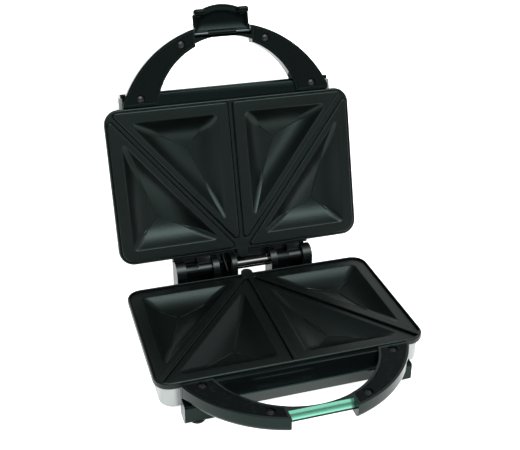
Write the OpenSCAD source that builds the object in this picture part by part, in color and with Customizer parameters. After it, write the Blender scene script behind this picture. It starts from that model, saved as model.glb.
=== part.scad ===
// Sandwich toaster: two cooking halves on a rear hinge, with front handles and a latch.
// X runs across, Y from the handle to the hinge, Z up. The lid stands open on its stop.
// Every lid piece is drawn closed, over the base, and then swung open about the hinge.

/* [Cooking plates] */
// Width of both cooking plates
plate_w = 235; // [225:1:250]
// Depth of both cooking plates, front to hinge side
plate_d = 144; // [138:1:156]
// Corner radius of the plates
plate_r = 14; // [10:1:18]
// Height of the solid rim around a plate
rim_h = 6; // [5:0.5:8]
// Width of the solid rim under a plate's edge
rim_depth = 7; // [6:0.5:8]
// Width of the raised edge around the recessed panels of the lower plate
edge_w = 2; // [1.5:0.25:3]
// Width of the raised ribs between the lower plate's panels
rib_w = 3.5; // [2.5:0.25:5]
// Depth of the lower plate's panels under its ribs
panel_drop = 2; // [1.6:0.1:2.6]
// Height of the upper plate's panels over its grooves
panel_rise = 1.4; // [1:0.1:1.5]
// Side gap between an upper panel and the lower recess it closes into
nest_gap = 0.75; // [0.6:0.05:1]
// Depth of a sandwich pocket under its panel
pocket_depth = 12; // [10:0.5:13]
// Flat border between a pocket and the outer sides of its panel
pocket_border = 10; // [8:0.5:12]
// Flat border between a pocket and the diagonal rib
pocket_diagonal = 5.5; // [4.5:0.5:7]
// Thickness of the cast plates
cast_t = 2.2; // [1.8:0.1:2.6]
// Width of the rounded tongue on the hinge side of each plate
tongue_w = 11; // [8:1:14]
// Length of that tongue
tongue_l = 8; // [5:0.5:8]

/* [Shells] */
// How far the silver shells stand in from the plate's sides and back
shell_inset = 4; // [3:0.5:6]
// How far they stand in from the plate's front
shell_front = 1.5; // [1:0.25:2.5]
// Corner radius of the shells
shell_r = 12; // [8:1:15]
// Thickness of the shells
shell_t = 1.6; // [1.2:0.1:2]
// Height of the lower shell under the plate's rim
base_shell_h = 20; // [20:0.5:26]
// Chamfer along the lower shell's bottom edge
base_chamfer = 3; // [2:0.5:5]
// Height of the upper shell's upright wall
lid_wall_h = 20; // [19:0.5:24]
// Height of the upper shell's crowned top
lid_crown_h = 14; // [12:0.5:18]
// Depth of the plastic cover under the lower shell
cover_h = 7; // [6:0.5:9]
// Thickness of moulded plastic walls
mould_t = 2; // [1.6:0.1:2.4]

/* [Handles] */
// Radius of the handles' outer edge
handle_r = 107; // [105:0.5:109]
// Distance from the plate's front edge to the front of the handles
handle_reach = 69; // [66:0.5:72]
// How far the handle roots stand in from the handles' widest radius
root_in = 9; // [7:0.5:12]
// Thickness of a handle half
handle_h = 14; // [13:0.5:16]
// Edge rounding of the handles' outer side
handle_round = 5; // [3:0.5:6]
// Width of the handles' band at the very front
band_w = 14; // [13:0.5:16]
// How much smaller the lower finger gap's radius is than the handles' radius
base_gap_in = 33; // [31:0.5:36]
// How much smaller the upper finger gap's radius is than the handles' radius
lid_gap_in = 38.5; // [35:0.5:40]
// Width of the glossy edge around the matt grip plates
grip_edge = 2.5; // [2:0.25:3.5]
// Thickness of the grip plates
grip_t = 3; // [2.5:0.25:3.5]
// Radius of the grip screws' heads
grip_head_r = 3; // [2.5:0.25:3.2]

/* [Latch] */
// Half width of the notch in both handles
notch_x = 27; // [24:0.5:29]
// Height of the latch pin over the mating plane
latch_z = 5.6; // [5.6:0.1:6.4]
// Radius of the latch pin
latch_pin_r = 1.5; // [1.2:0.1:1.7]
// Length of the latch from its pin to its tip
latch_l = 25.5; // [24:0.5:28]
// Thickness of the latch
latch_t = 3; // [2.4:0.2:3.4]
// Length of the latch barrel on its pin
latch_barrel = 26; // [20:1:30]
// Height of the bar that the latch hooks under
catch_h = 9; // [8:0.5:10]
// Width of each hook
hook_w = 11; // [8:0.5:12]
// Reach of the hooks under the bar
hook_reach = 3.4; // [2.5:0.1:3.6]
// Thickness of the hooks
hook_t = 4; // [3:0.25:5]
// Swing of the latch from latched to open
latch_swing = 90; // [80:1:95]

/* [Hinge] */
// Opening angle of the lid
lid_open = 107; // [100:1:112]
// Distance from the plates' back edge to the hinge axis
hinge_back = 14; // [14:0.5:18]
// Height of the hinge axis over the mating plane
hinge_up = 3; // [2:0.25:4]
// Radius of the hinge pins
pin_r = 2.5; // [2:0.1:3]
// Radius of the knuckles
knuckle_r = 6; // [5:0.25:7]
// Radius of the ears beside the knuckles
ear_r = 10.5; // [9:0.25:10.5]
// Distance from the middle to the centre of each knuckle pair
pair_x = 45; // [43:0.5:47]
// Width of one knuckle
knuckle_w = 12.7; // [11:0.1:13]
// Width of the outer ears
outer_ear_w = 9; // [6:0.5:12]
// Width of the inner ears
inner_ear_w = 6; // [4:0.5:7]
// Radius of the tie bar between the middle ears
tie_r = 3.5; // [3:0.25:4]
// Depth of the hinge block behind the lower shell
block_d = 26; // [26:0.5:30]

/* [Feet and inlet] */
// Height of the rubber feet
foot_h = 3; // [2:0.5:5]
// Radius of the rubber feet
foot_r = 7; // [5:0.5:8]
// Radius of the cord inlet's bore
inlet_r = 3.4; // [3:0.1:3.8]
// Length of the cord inlet's bore
inlet_l = 10; // [8:0.5:12]

/* [Inside] */
// Radius of the heating elements
element_r = 3.2; // [2.8:0.1:3.2]
// Half width of the heating loops
loop_x = 80; // [74:1:84]
// Bend radius of the heating loops
loop_r = 20; // [14:1:24]
// Radius of the cast bosses under the plates
boss_r = 4; // [3.6:0.1:4.2]
// Radius of the plate screws
plate_screw_r = 1.9; // [1.6:0.1:2]
// Radius of the indicator lenses
lens_r = 4; // [3.5:0.25:5]
// Distance of each lens from the middle
lens_x = 10; // [9:0.5:16]

/* [Hidden] */
$fn = 48;
hair = 0.01;
fit = 0.05;          // radial clearance of a pin in its bore
body_gap = 0.3;      // space between separate mouldings
close_gap = 0.2;     // each plate's rim stands this far off the mating plane
grip_face = 1;       // each handle's grip face stands this far off the mating plane
reflector_t = 0.8;

root_x = handle_r - root_in;                     // half width across the handle roots
gap_reach = handle_reach - band_w;               // far side of the finger gaps
base_gap_r = handle_r - base_gap_in;             // radius of the lower finger gap
lid_gap_r = handle_r - lid_gap_in;               // radius of the upper finger gap
shell_w = plate_w - 2 * shell_inset;
shell_back = plate_d - shell_inset;
rim_z = close_gap + rim_h;                       // both shells start here
base_floor = rim_z + base_shell_h;               // depth of the lower shell's underside
cover_z = base_floor + cover_h;
stand_z = cover_z + foot_h;                      // mating plane over the table
lid_wall_z = rim_z + lid_wall_h;
lid_top = lid_wall_z + lid_crown_h;
crown_mid_z = lid_wall_z + 0.7 * lid_crown_h;
crown_mid_in = 6;
crown_in = 24;
sheet_z = close_gap + panel_drop + cast_t;       // underside of the lower plate's sheet
pan_z = close_gap + panel_drop + pocket_depth + cast_t;
reflector_z = base_floor - shell_t;              // reflectors lie this far from the mating plane
element_z = pan_z + body_gap + element_r;

hinge_y = plate_d + hinge_back;
handle_y = handle_r - handle_reach;              // centre of the handles' outer edge
grip_z = grip_face + grip_t;
handle_z = grip_face + handle_h;
root_y = -1;                                     // the handle roots end here
hood_x = root_x + 3.5;
hood_y = -13;
hood_z = lid_wall_z;
hood_top = lid_wall_z + 0.55 * lid_crown_h;
hood_edge = [4, 5];                              // the hood's top stands in this far, in X and Y
hood_end = 24;                                   // the hood ends in the crown at this Y
fascia_top = hood_top - shell_t - body_gap;
fascia_side_top = hood_z - shell_t - body_gap;
fascia_low = 3;                                  // both front blocks start here
fascia_end = 30;                                 // solid length at each end of a front block
fascia_out = 10;                                 // furthest reach of the lower front block
base_front = [[0.4, 0.115], [0.5, 0.27], [0.85, 0.57], [1, 0.95], [0.8, 1.15]];
base_hollow = [[0.2, 0.34], [0.65, 0.65], [0.75, 1]];
column_w = 26;                                   // width of the foot columns at its ends
column_out = 14;
column_edge = 3;

pin_y = -gap_reach - 5.5;                        // latch pin, in front of the finger gap
catch_y = pin_y + 3;                             // top edge of the catch bar
catch_lip_y = pin_y + 1;
catch_z = grip_face + catch_h;
latch_half = notch_x - 0.7;
latch_pin_l = 2 * (notch_x + 4);
tip_r = 44;                                      // radius of the latch's arched tip
hook_top = latch_z + catch_z + 0.25;             // distance from the pin to the hooks

block_low = cover_z;
block_top = 17;
block_back = shell_back + block_d;
ear_web = hinge_y - ear_r;
bracket_y = hinge_y - ear_r - 0.5;               // back face of the lid's hinge bracket
bracket_z = [rim_z, lid_wall_z];
pair_gap = 0.3;
pair_half = knuckle_w + pair_gap;
left_pair = -pair_x;
right_pair = pair_x;
tie_x = [-8, right_pair - pair_half - pair_gap - inner_ear_w + 1];
tie_seat = 3;
mid_ear_w = 5;
back_wall_y = hinge_y + knuckle_r + 1.5;         // wall of the hinge block behind the knuckles
back_wall_top = 3;
web_back = 3;                                    // webs of the lid's bracket, in front of the axis
web_gap = 0.6;
web_lead = 3.2;
web_z = [hinge_up + 5, lid_wall_z - 2];
lead_x = -18;
lead_r = 1.5;
lens_y = 12;
lens_h = 9;                                      // length of a lens behind its seat
lens_dome = 1.5;
lens_seat = 0.78 * lid_crown_h;
lamp_r = 2.6;
lamp_gap = 2.5;                                  // space between a lamp and its lens's seat
lead_lid_z = rim_z + 4;                          // the link lead enters the lid's bracket here
lead_hold = 3;                                   // length of the lead in each hole
lead_steps = 14;
inlet_z = -(block_low + block_top) / 2;
inlet_wall = 2;
inlet_flange = 3.6;
latch_in = -0.3;                                 // inner face of the latch, in front of its pin
latch_eye_r = 3.2;
lid_bar_y = pin_y + 3.8;                         // front of the bar behind the latch pin
lid_bar_h = 11;
bar_back = gap_reach - 15;                       // both bars end inside the finger gaps

// Furthest points of the lid's side view, drawn closed.
lid_profile = [
    [shell_front, lid_wall_z],
    [shell_front + crown_mid_in, crown_mid_z],
    [shell_front + crown_in, lid_top],
    [hood_y + 5, hood_top],
    [hood_y, hood_z],
    [-handle_reach + handle_round, handle_z],
    [pin_y - latch_l, latch_z + latch_t + 0.2]
];
function swung(p) =
    let (y = p[0] - hinge_y, z = p[1] - hinge_up)
    [hinge_y + y * cos(lid_open) + z * sin(lid_open), hinge_up - y * sin(lid_open) + z * cos(lid_open)];
front_end = handle_y - sqrt(handle_r * handle_r - notch_x * notch_x);
back_end = max([for (p = lid_profile) swung(p)[0]]);
middle_y = (front_end + back_end) / 2;

// Panels and pockets of the plates
panel_round = [2.5, 2.5, 2.5];
rear_round = [2.5, 2.5, plate_r - 3];
pocket_inner = 0.18 * plate_d;                   // radius of a circle inside a pocket's outline
front_middle = [-0.17 * plate_w, 0.26 * plate_d];
rear_middle = [-0.325 * plate_w, 0.72 * plate_d];
pan_grow = 1 + cast_t / 26;                      // a pan's outside over its inside
lid_edge = edge_w + nest_gap;
lid_rib = rib_w + 2 * nest_gap;
diagonal_top = 2;                                // both diagonal ribs end this far off the middle

// Heating loop
loop_y = [0.18 * plate_d, 0.82 * plate_d];
loop_bend = 6;
leg_x = 14;
leg_l = 9;
terminal_r = 1.2;

// Screws and bosses
grip_gap = 0.25;                                 // side clearance of a grip plate
grip_boss_r = 3.6;
grip_screw_r = 1.5;
grip_screw_l = 8;
root_screw_in = 16;                              // grip screw at the root, in from its side
root_screw_y = 7;
tip_screw_in = 2.7;                              // grip screw near the middle of the handle
tip_screw_x = root_x * 40 / 98;
lid_post_in = 30;
grip_head_h = 1.4;
grip_sink = 1.8;                                 // depth of the recess for a grip screw's head
grip_sink_r = grip_head_r + 1.2;
plate_screw_l = 11;
plate_head = [3.6, 2.4];                         // radius and height of a head
cover_head = [3, 1.8];
cover_boss_r = 4.5;
cover_screw_r = 1.6;
cover_inset = 7.5;
cover_front = 12;
cover_back = shell_back - base_chamfer - 1;
cover_r = 8;
slot_w = 4;
slot_pitch = 14;
slot_y = [50, 90];
foot_stem_r = 2.5;
post_r = 4;
grip_screws = [for (s = [-1, 1]) each [
    [s * (root_x - root_screw_in), -root_screw_y],
    [s * tip_screw_x, -gap_reach + tip_screw_in]
]];
boss_at = [[0, 0.36 * plate_d], [-0.22 * plate_w, 0.53 * plate_d], [0.22 * plate_w, 0.53 * plate_d]];
cover_screws = [for (x = [-1, 1], y = [22, shell_back - 16]) [x * (shell_w / 2 - 16), y]];
lid_posts = [for (x = [-1, 1], y = [shell_front + lid_post_in, shell_back - lid_post_in])
    [x * (shell_w / 2 - crown_in - 6), y]];
foot_at = [
    [-(root_x - 12), -5],
    [root_x - 12, -5],
    [-58, shell_back + 16],
    [58, shell_back + 16]
];

// Placing

module base_place() {
    translate([0, -middle_y, stand_z]) children();
}

module lid_place() {
    base_place()
        translate([0, hinge_y, hinge_up])
            rotate([-lid_open, 0, 0])
                translate([0, -hinge_y, -hinge_up]) children();
}

// Shared outlines

// Corner of a polygon rounded to radius r, as points from side to side.
function corner(a, b, c, r, steps) =
    let (
        u = (a - b) / norm(a - b),
        v = (c - b) / norm(c - b),
        half = acos(u * v) / 2,
        centre = b + (u + v) / norm(u + v) * r / sin(half),
        start = b + u * r / tan(half) - centre,
        turn = (u[0] * v[1] - u[1] * v[0] > 0 ? -1 : 1) * (180 - 2 * half)
    )
    [for (i = [0:steps]) let (t = turn * i / steps)
        centre + [start[0] * cos(t) - start[1] * sin(t), start[0] * sin(t) + start[1] * cos(t)]];

function rounded(p, r, steps) =
    [for (i = [0:len(p) - 1])
        each corner(p[(i + len(p) - 1) % len(p)], p[i], p[(i + 1) % len(p)], r[i], steps)];

module rounded_rect(w, y0, y1, r) {
    translate([-w / 2 + r, y0]) square([w - 2 * r, y1 - y0]);
    translate([-w / 2, y0 + r]) square([w, y1 - y0 - 2 * r]);
    for (x = [-w / 2 + r, w / 2 - r], y = [y0 + r, y1 - r]) translate([x, y]) circle(r);
}

module slab(w, y0, y1, r, z0, z1) {
    translate([0, 0, z0]) linear_extrude(z1 - z0) rounded_rect(w, y0, y1, r);
}

module block(x, y, z) {
    translate([x[0], y[0], z[0]]) cube([x[1] - x[0], y[1] - y[0], z[1] - z[0]]);
}

module across(x0, x1, y, z, r) {
    translate([x0, y, z]) rotate([0, 90, 0]) cylinder(r = r, h = x1 - x0);
}

module side_profile(x0, x1, points) {
    translate([x0, 0, 0]) rotate([90, 0, 90]) linear_extrude(x1 - x0) polygon(points);
}

// Cooking plates

// A plate has four triangular panels between the edge, a middle rib and two diagonals
// that run from the front corners to the hinge side.
function diagonal_x(y, edge, shift) =
    let (
        foot = [-(plate_w / 2 - edge), edge],
        top = [-diagonal_top, plate_d - edge],
        along = (top - foot) / norm(top - foot)
    )
    foot[0] + (y - foot[1]) * along[0] / along[1] + shift / along[1];

function diagonal_y(x, edge, shift) =
    edge + (x - diagonal_x(edge, edge, shift))
        * (plate_d - 2 * edge) / (plate_w / 2 - edge - diagonal_top);

function front_panel(edge, rib, border, diagonal) =
    let (lo = edge + border, mid = -rib / 2 - border, shift = rib / 2 + diagonal)
    [
        [diagonal_x(lo, edge, shift), lo],
        [mid, lo],
        [mid, diagonal_y(mid, edge, shift)]
    ];

function rear_panel(edge, rib, border, diagonal) =
    let (
        out = -(plate_w / 2 - edge - border),
        hi = plate_d - edge - border,
        shift = -rib / 2 - diagonal
    )
    [
        [out, diagonal_y(out, edge, shift)],
        [diagonal_x(hi, edge, shift), hi],
        [out, hi]
    ];

module panels(edge, rib, z0, z1) {
    for (s = [0, 1]) mirror([s, 0, 0]) translate([0, 0, z0]) linear_extrude(z1 - z0) {
        polygon(rounded(front_panel(edge, rib, 0, 0), panel_round, 4));
        polygon(rounded(rear_panel(edge, rib, 0, 0), rear_round, 6));
    }
}

// One pocket as rings that shrink towards its deepest point. Each ring is a share of the
// outline, a share of the depth and the rounding of its corners against its size, so that
// a wide soft wall leads to a pyramid whose ridges fade out.
pocket_rings = [
    [1, 0, 0.23], [0.93, 0.08, 0.3], [0.82, 0.27, 0.42], [0.68, 0.48, 0.45],
    [0.52, 0.67, 0.4], [0.36, 0.81, 0.15], [0.15, 0.94, 0.08]
];

module pocket(corners, middle, level, depth, grow, above) {
    steps = 5;
    count = len(corners) * (steps + 1);
    rings = [[1, -above / depth, pocket_rings[0][2]], for (r = pocket_rings) r];
    points = [
        for (r = rings)
            let (size = r[0] * grow, radius = r[2] * pocket_inner * size)
            for (q = rounded([for (c = corners) middle + (c - middle) * size],
                [radius, radius, radius], steps))
                [q[0], q[1], -level - r[1] * depth],
        [middle[0], middle[1], -level - depth]
    ];
    top = [for (i = [0:count - 1]) count - 1 - i];
    sides = [
        for (k = [0:len(rings) - 2], i = [0:count - 1])
            let (a = k * count + i, b = k * count + (i + 1) % count)
            each [[a, b, b + count], [a, b + count, a + count]]
    ];
    last = (len(rings) - 1) * count;
    tip = [for (i = [0:count - 1]) [last + i, last + (i + 1) % count, last + count]];
    polyhedron(points, concat([top], sides, tip));
}

module pockets(edge, rib, level, depth, grow, above) {
    for (s = [0, 1]) mirror([s, 0, 0]) {
        pocket(front_panel(edge, rib, pocket_border, pocket_diagonal), front_middle, level,
            depth, grow, above);
        pocket(rear_panel(edge, rib, pocket_border, pocket_diagonal), rear_middle, level,
            depth, grow, above);
    }
}

module plate_blank() {
    slab(plate_w, 0, plate_d, plate_r, -sheet_z, -close_gap);
    difference() {
        slab(plate_w, 0, plate_d, plate_r, -rim_z, -sheet_z + hair);
        slab(plate_w - 2 * rim_depth, rim_depth, plate_d - rim_depth, plate_r - rim_depth,
            -rim_z - 1, -sheet_z + 1);
    }
    translate([0, 0, -sheet_z]) linear_extrude(sheet_z - close_gap) {
        translate([-tongue_w / 2, plate_d - 1]) square([tongue_w, tongue_l - tongue_w / 2 + 1]);
        translate([0, plate_d + tongue_l - tongue_w / 2]) circle(tongue_w / 2);
    }
    for (b = boss_at) translate([b[0], b[1], -reflector_z])
        cylinder(r = boss_r, h = reflector_z - sheet_z + hair);
}

module boss_bores() {
    for (b = boss_at) translate([b[0], b[1], -reflector_z - 1])
        cylinder(r = plate_screw_r + fit, h = 13);
}

module base_plate() {
    color("#3a4040") base_place() difference() {
        union() {
            plate_blank();
            pockets(edge_w, rib_w, close_gap + panel_drop + cast_t, pocket_depth, pan_grow, cast_t / 2);
        }
        panels(edge_w, rib_w, -close_gap - panel_drop, 1);
        pockets(edge_w, rib_w, close_gap + panel_drop, pocket_depth, 1, panel_drop + 2);
        boss_bores();
    }
}

module lid_plate() {
    color("#3a4040") lid_place() mirror([0, 0, 1]) difference() {
        union() {
            plate_blank();
            panels(lid_edge, lid_rib, -close_gap - hair, panel_rise - close_gap);
            pockets(lid_edge, lid_rib, close_gap + panel_drop + cast_t, pocket_depth, pan_grow, cast_t / 2);
        }
        pockets(lid_edge, lid_rib, close_gap - panel_rise, pocket_depth + panel_rise + panel_drop,
            1, 2);
        boss_bores();
    }
}

// Heating elements, reflectors and plate screws, drawn for the lower half

module bend(x, y, turn, r) {
    translate([x, y, 0]) rotate([0, 0, turn]) rotate_extrude(angle = 90)
        translate([r, 0]) circle(element_r);
}

module element() {
    translate([0, 0, -element_z]) {
        across(-loop_x + loop_r, loop_x - loop_r, loop_y[0], 0, element_r);
        bend(-loop_x + loop_r, loop_y[0] + loop_r, 180, loop_r);
        bend(loop_x - loop_r, loop_y[0] + loop_r, 270, loop_r);
        for (s = [-1, 1]) {
            translate([s * loop_x, loop_y[0] + loop_r, 0]) rotate([-90, 0, 0])
                cylinder(r = element_r, h = loop_y[1] - loop_y[0] - 2 * loop_r);
            translate([s * leg_x, loop_y[1] + loop_bend, 0]) rotate([-90, 0, 0]) {
                cylinder(r = element_r, h = leg_l);
                cylinder(r = terminal_r, h = leg_l + 3);
            }
        }
        bend(-loop_x + loop_r, loop_y[1] - loop_r, 90, loop_r);
        bend(loop_x - loop_r, loop_y[1] - loop_r, 0, loop_r);
        across(-loop_x + loop_r, -leg_x - loop_bend, loop_y[1], 0, element_r);
        across(leg_x + loop_bend, loop_x - loop_r, loop_y[1], 0, element_r);
        bend(-leg_x - loop_bend, loop_y[1] + loop_bend, 270, loop_bend);
        bend(leg_x + loop_bend, loop_y[1] + loop_bend, 180, loop_bend);
    }
}

module reflector_sheet(inset, z) {
    edge = shell_t + inset + body_gap;
    slab(shell_w - 2 * edge, shell_front + edge, shell_back - edge, shell_r - edge, z, z + reflector_t);
}

module reflector() {
    difference() {
        reflector_sheet(base_chamfer, -reflector_z);
        for (b = boss_at) translate([b[0], b[1], -reflector_z - 1])
            cylinder(r = boss_r + body_gap, h = 3);
        for (c = cover_screws) translate([c[0], c[1], -reflector_z - 1])
            cylinder(r = cover_boss_r + body_gap, h = 3);
    }
}

module screw(r, head, l) {
    cylinder(r = r, h = l);
    translate([0, 0, -head[1]]) cylinder(r1 = head[0] * 0.7, r2 = head[0], h = head[1] / 2);
    translate([0, 0, -head[1] / 2]) cylinder(r = head[0], h = head[1] / 2);
}

module base_element() {
    color("#8d8f8c") base_place() element();
}

module lid_element() {
    color("#8d8f8c") lid_place() mirror([0, 0, 1]) element();
}

module base_reflector() {
    color("#c9cdd0") base_place() reflector();
}

module lid_reflector() {
    color("#c9cdd0") lid_place() mirror([0, 0, 1]) difference() {
        reflector_sheet(0, -reflector_z - reflector_t);
        for (b = boss_at) translate([b[0], b[1], -reflector_z - 2])
            cylinder(r = plate_screw_r + fit, h = 4);
    }
}

module base_plate_screws() {
    color("#b8bcc0") base_place() for (b = boss_at)
        translate([b[0], b[1], -base_floor]) screw(plate_screw_r, plate_head, plate_screw_l);
}

module lid_plate_screws() {
    color("#b8bcc0") lid_place() mirror([0, 0, 1]) for (b = boss_at)
        translate([b[0], b[1], -reflector_z - reflector_t])
            screw(plate_screw_r, plate_head, plate_screw_l);
}

// Lower shell, cover and feet

module base_shell_form(t) {
    hull() {
        slab(shell_w - 2 * t, shell_front + t, shell_back - t, shell_r - t,
            -base_floor + base_chamfer + t, t > 0 ? 0 : -rim_z);
        slab(shell_w - 2 * t - 2 * base_chamfer, shell_front + t + base_chamfer,
            shell_back - t - base_chamfer, shell_r - t - base_chamfer, -base_floor + t,
            -base_floor + t + 1);
    }
}

module base_shell() {
    color("#d9dcdc") base_place() difference() {
        union() {
            difference() {
                base_shell_form(0);
                base_shell_form(shell_t);
            }
            for (c = cover_screws) translate([c[0], c[1], -base_floor])
                cylinder(r = cover_boss_r, h = 8);
        }
        for (c = cover_screws) translate([c[0], c[1], -base_floor - 1])
            cylinder(r = cover_screw_r + fit, h = 8);
        for (b = boss_at) translate([b[0], b[1], -base_floor - 1])
            cylinder(r = plate_screw_r + fit, h = 4);
        translate([0, shell_back - 12, -base_floor - 1]) cylinder(r = 6, h = 4);
    }
}

module bottom_cover() {
    color("#1b1d1e") base_place() difference() {
        union() {
            difference() {
                slab(shell_w - 2 * cover_inset, cover_front, cover_back, cover_r,
                    -cover_z, -base_floor);
                slab(shell_w - 2 * cover_inset - 2 * mould_t, cover_front + mould_t,
                    cover_back - mould_t, cover_r - mould_t, -cover_z + mould_t, -base_floor + 1);
            }
            for (c = cover_screws) translate([c[0], c[1], -cover_z])
                cylinder(r = cover_boss_r, h = cover_h);
        }
        for (c = cover_screws) translate([c[0], c[1], -cover_z - 1]) {
            cylinder(r = cover_screw_r + fit, h = cover_h + 2);
            cylinder(r = cover_head[0] + 0.2, h = cover_head[1] + 1.2);
        }
        for (i = [-4:4])
            block([i * slot_pitch - slot_w / 2, i * slot_pitch + slot_w / 2], slot_y,
                [-cover_z - 1, -cover_z + mould_t + 1]);
    }
}

module bottom_cover_screws() {
    color("#b8bcc0") base_place() for (c = cover_screws)
        translate([c[0], c[1], -cover_z + 2]) screw(cover_screw_r, cover_head, cover_h + 4);
}

module foot(i) {
    color("#26282a") base_place() translate([foot_at[i][0], foot_at[i][1], -stand_z]) {
        cylinder(r1 = foot_r - 1, r2 = foot_r, h = foot_h);
        cylinder(r = foot_stem_r, h = foot_h + mould_t);
    }
}

module foot_bores() {
    for (f = foot_at) translate([f[0], f[1], -cover_z - 1])
        cylinder(r = foot_stem_r + fit, h = mould_t + 2);
}

// Handles, drawn for the lower half with the grip face up

function gap_y(r) = r - gap_reach;

module handle_disc() {
    steps = 6;
    lower = [for (i = [0:steps]) let (t = -90 + 90 * i / steps)
        [handle_r - handle_round * (1 - cos(t)), -handle_z + handle_round * (1 + sin(t))]];
    edge = 1;
    translate([0, handle_y, 0]) rotate_extrude($fn = 96)
        polygon(concat([[0, -handle_z]], lower,
            [[handle_r, -grip_face - edge], [handle_r - edge, -grip_face], [0, -grip_face]]));
}

module gap_hole(r, z0, z1) {
    translate([0, gap_y(r), z0]) cylinder(r = r, h = z1 - z0, $fn = 96);
}

module grip_outline(gap_r, grow) {
    difference() {
        translate([0, handle_y]) circle(handle_r - grip_edge + grow, $fn = 96);
        translate([0, gap_y(gap_r)]) circle(gap_r + grip_edge - grow, $fn = 96);
        translate([-notch_x - grip_edge + grow, -200]) square([2 * (notch_x + grip_edge - grow), 400]);
        translate([-300, root_y - 1.5 + grow]) square([600, 300]);
        for (s = [0, 1]) mirror([s, 0]) translate([root_x - grip_edge + grow, -200]) square([100, 400]);
    }
}

module handle_arms(gap_r) {
    difference() {
        handle_disc();
        gap_hole(gap_r, -handle_z - 1, 1);
        block([-300, 300], [root_y, 300], [-100, 100]);
        for (s = [0, 1]) mirror([s, 0, 0]) block([root_x, 300], [-300, 300], [-100, 100]);
        block([-notch_x, notch_x], [-300, 0], [-100, 100]);
        translate([0, 0, -grip_z]) linear_extrude(grip_z) grip_outline(gap_r, grip_gap);
        difference() {
            translate([0, 0, -handle_z + mould_t]) linear_extrude(handle_z) grip_outline(gap_r, -2);
            for (p = grip_screws) translate([p[0], p[1], -handle_z])
                cylinder(r = grip_boss_r, h = handle_z - grip_z);
        }
        for (p = grip_screws) translate([p[0], p[1], -handle_z + mould_t])
            cylinder(r = grip_screw_r + fit, h = handle_h);
    }
}

module grip(gap_r, side) {
    difference() {
        intersection() {
            translate([0, 0, -grip_z]) linear_extrude(grip_t) grip_outline(gap_r, 0);
            block(side > 0 ? [0, 300] : [-300, 0], [-300, 300], [-100, 100]);
        }
        for (p = grip_screws) translate([p[0], p[1], -grip_z - 1]) {
            cylinder(r = grip_screw_r + fit, h = grip_t + 2);
            translate([0, 0, grip_t + 1 - grip_sink]) cylinder(r = grip_sink_r, h = grip_sink + 1);
        }
    }
}

module grip_screw_set() {
    dome_r = 1.4 * grip_head_r;
    for (p = grip_screws) translate([p[0], p[1], -grip_face - grip_sink]) {
        translate([0, 0, -grip_screw_l]) cylinder(r = grip_screw_r, h = grip_screw_l);
        intersection() {
            cylinder(r = grip_head_r, h = grip_head_h);
            translate([0, 0, grip_head_h - dome_r]) sphere(r = dome_r);
        }
    }
}

// The catch bar closes the notch of the lower handle, with a hollow front over a lip.
module catch_bar() {
    steps = 6;
    hollow = 1;
    face = [for (i = [0:steps]) let (t = i / steps) [
        catch_y + (catch_lip_y - catch_y) * t + hollow * 4 * t * (1 - t),
        -grip_face - catch_h * t
    ]];
    difference() {
        side_profile(-notch_x - hair, notch_x + hair,
            concat([[-bar_back, -catch_z], [-bar_back, -grip_face]], face));
        gap_hole(base_gap_r, -handle_z - 1, 1);
    }
}

module base_handle() {
    color("#202426") base_place() {
        handle_arms(base_gap_r);
        catch_bar();
    }
}

module base_grip(side) {
    color("#33383a") base_place() grip(base_gap_r, side);
}

module base_grip_screws() {
    color("#9aa0a4") base_place() grip_screw_set();
}

module lid_handle() {
    color("#202426") lid_place() mirror([0, 0, 1]) difference() {
        union() {
            handle_arms(lid_gap_r);
            difference() {
                block([-notch_x - hair, notch_x + hair], [lid_bar_y, -bar_back],
                    [-grip_face - lid_bar_h, -grip_face]);
                gap_hole(lid_gap_r, -handle_z - 1, 1);
            }
        }
        across(-latch_pin_l / 2, latch_pin_l / 2, pin_y, -latch_z, latch_pin_r + fit);
    }
}

module lid_grip(side) {
    color("#33383a") lid_place() mirror([0, 0, 1]) grip(lid_gap_r, side);
}

module lid_grip_screws() {
    color("#9aa0a4") lid_place() mirror([0, 0, 1]) grip_screw_set();
}

// Front blocks behind the handles

// Space taken by the handle roots, which the front blocks leave free.
module root_space(gap_r) {
    difference() {
        block([-root_x - 1, root_x + 1], [-40, root_y], [-handle_z, 0]);
        gap_hole(gap_r - 0.2, -handle_z - 1, 1);
    }
}

// Space taken by the plate's rim.
module plate_space() {
    block([-plate_w, plate_w], [-body_gap, plate_d], [-rim_z, 0]);
}

module base_fascia() {
    face = [for (p = base_front) [-p[0] * fascia_out, -p[1] * base_floor]];
    hollow = [for (p = base_hollow) [-p[0] * fascia_out, -p[1] * base_floor]];
    color("#141718") base_place() difference() {
        union() {
            side_profile(-root_x, root_x,
                concat([[shell_front, face[len(face) - 1][1]], [shell_front, face[0][1]]], face));
            for (s = [0, 1]) mirror([s, 0, 0])
                side_profile(root_x - column_w, root_x, [
                    [shell_front, -handle_z], [-column_out + 1, -handle_z],
                    [-column_out, -handle_z - 2], [-column_out, -cover_z + column_edge],
                    [-column_out + column_edge, -cover_z], [shell_front, -cover_z]
                ]);
        }
        root_space(base_gap_r);
        side_profile(-root_x + fascia_end, root_x - fascia_end,
            concat([[shell_front + 1, -base_floor], [shell_front + 1, hollow[0][1]]], hollow));
        foot_bores();
        plate_space();
    }
}

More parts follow.
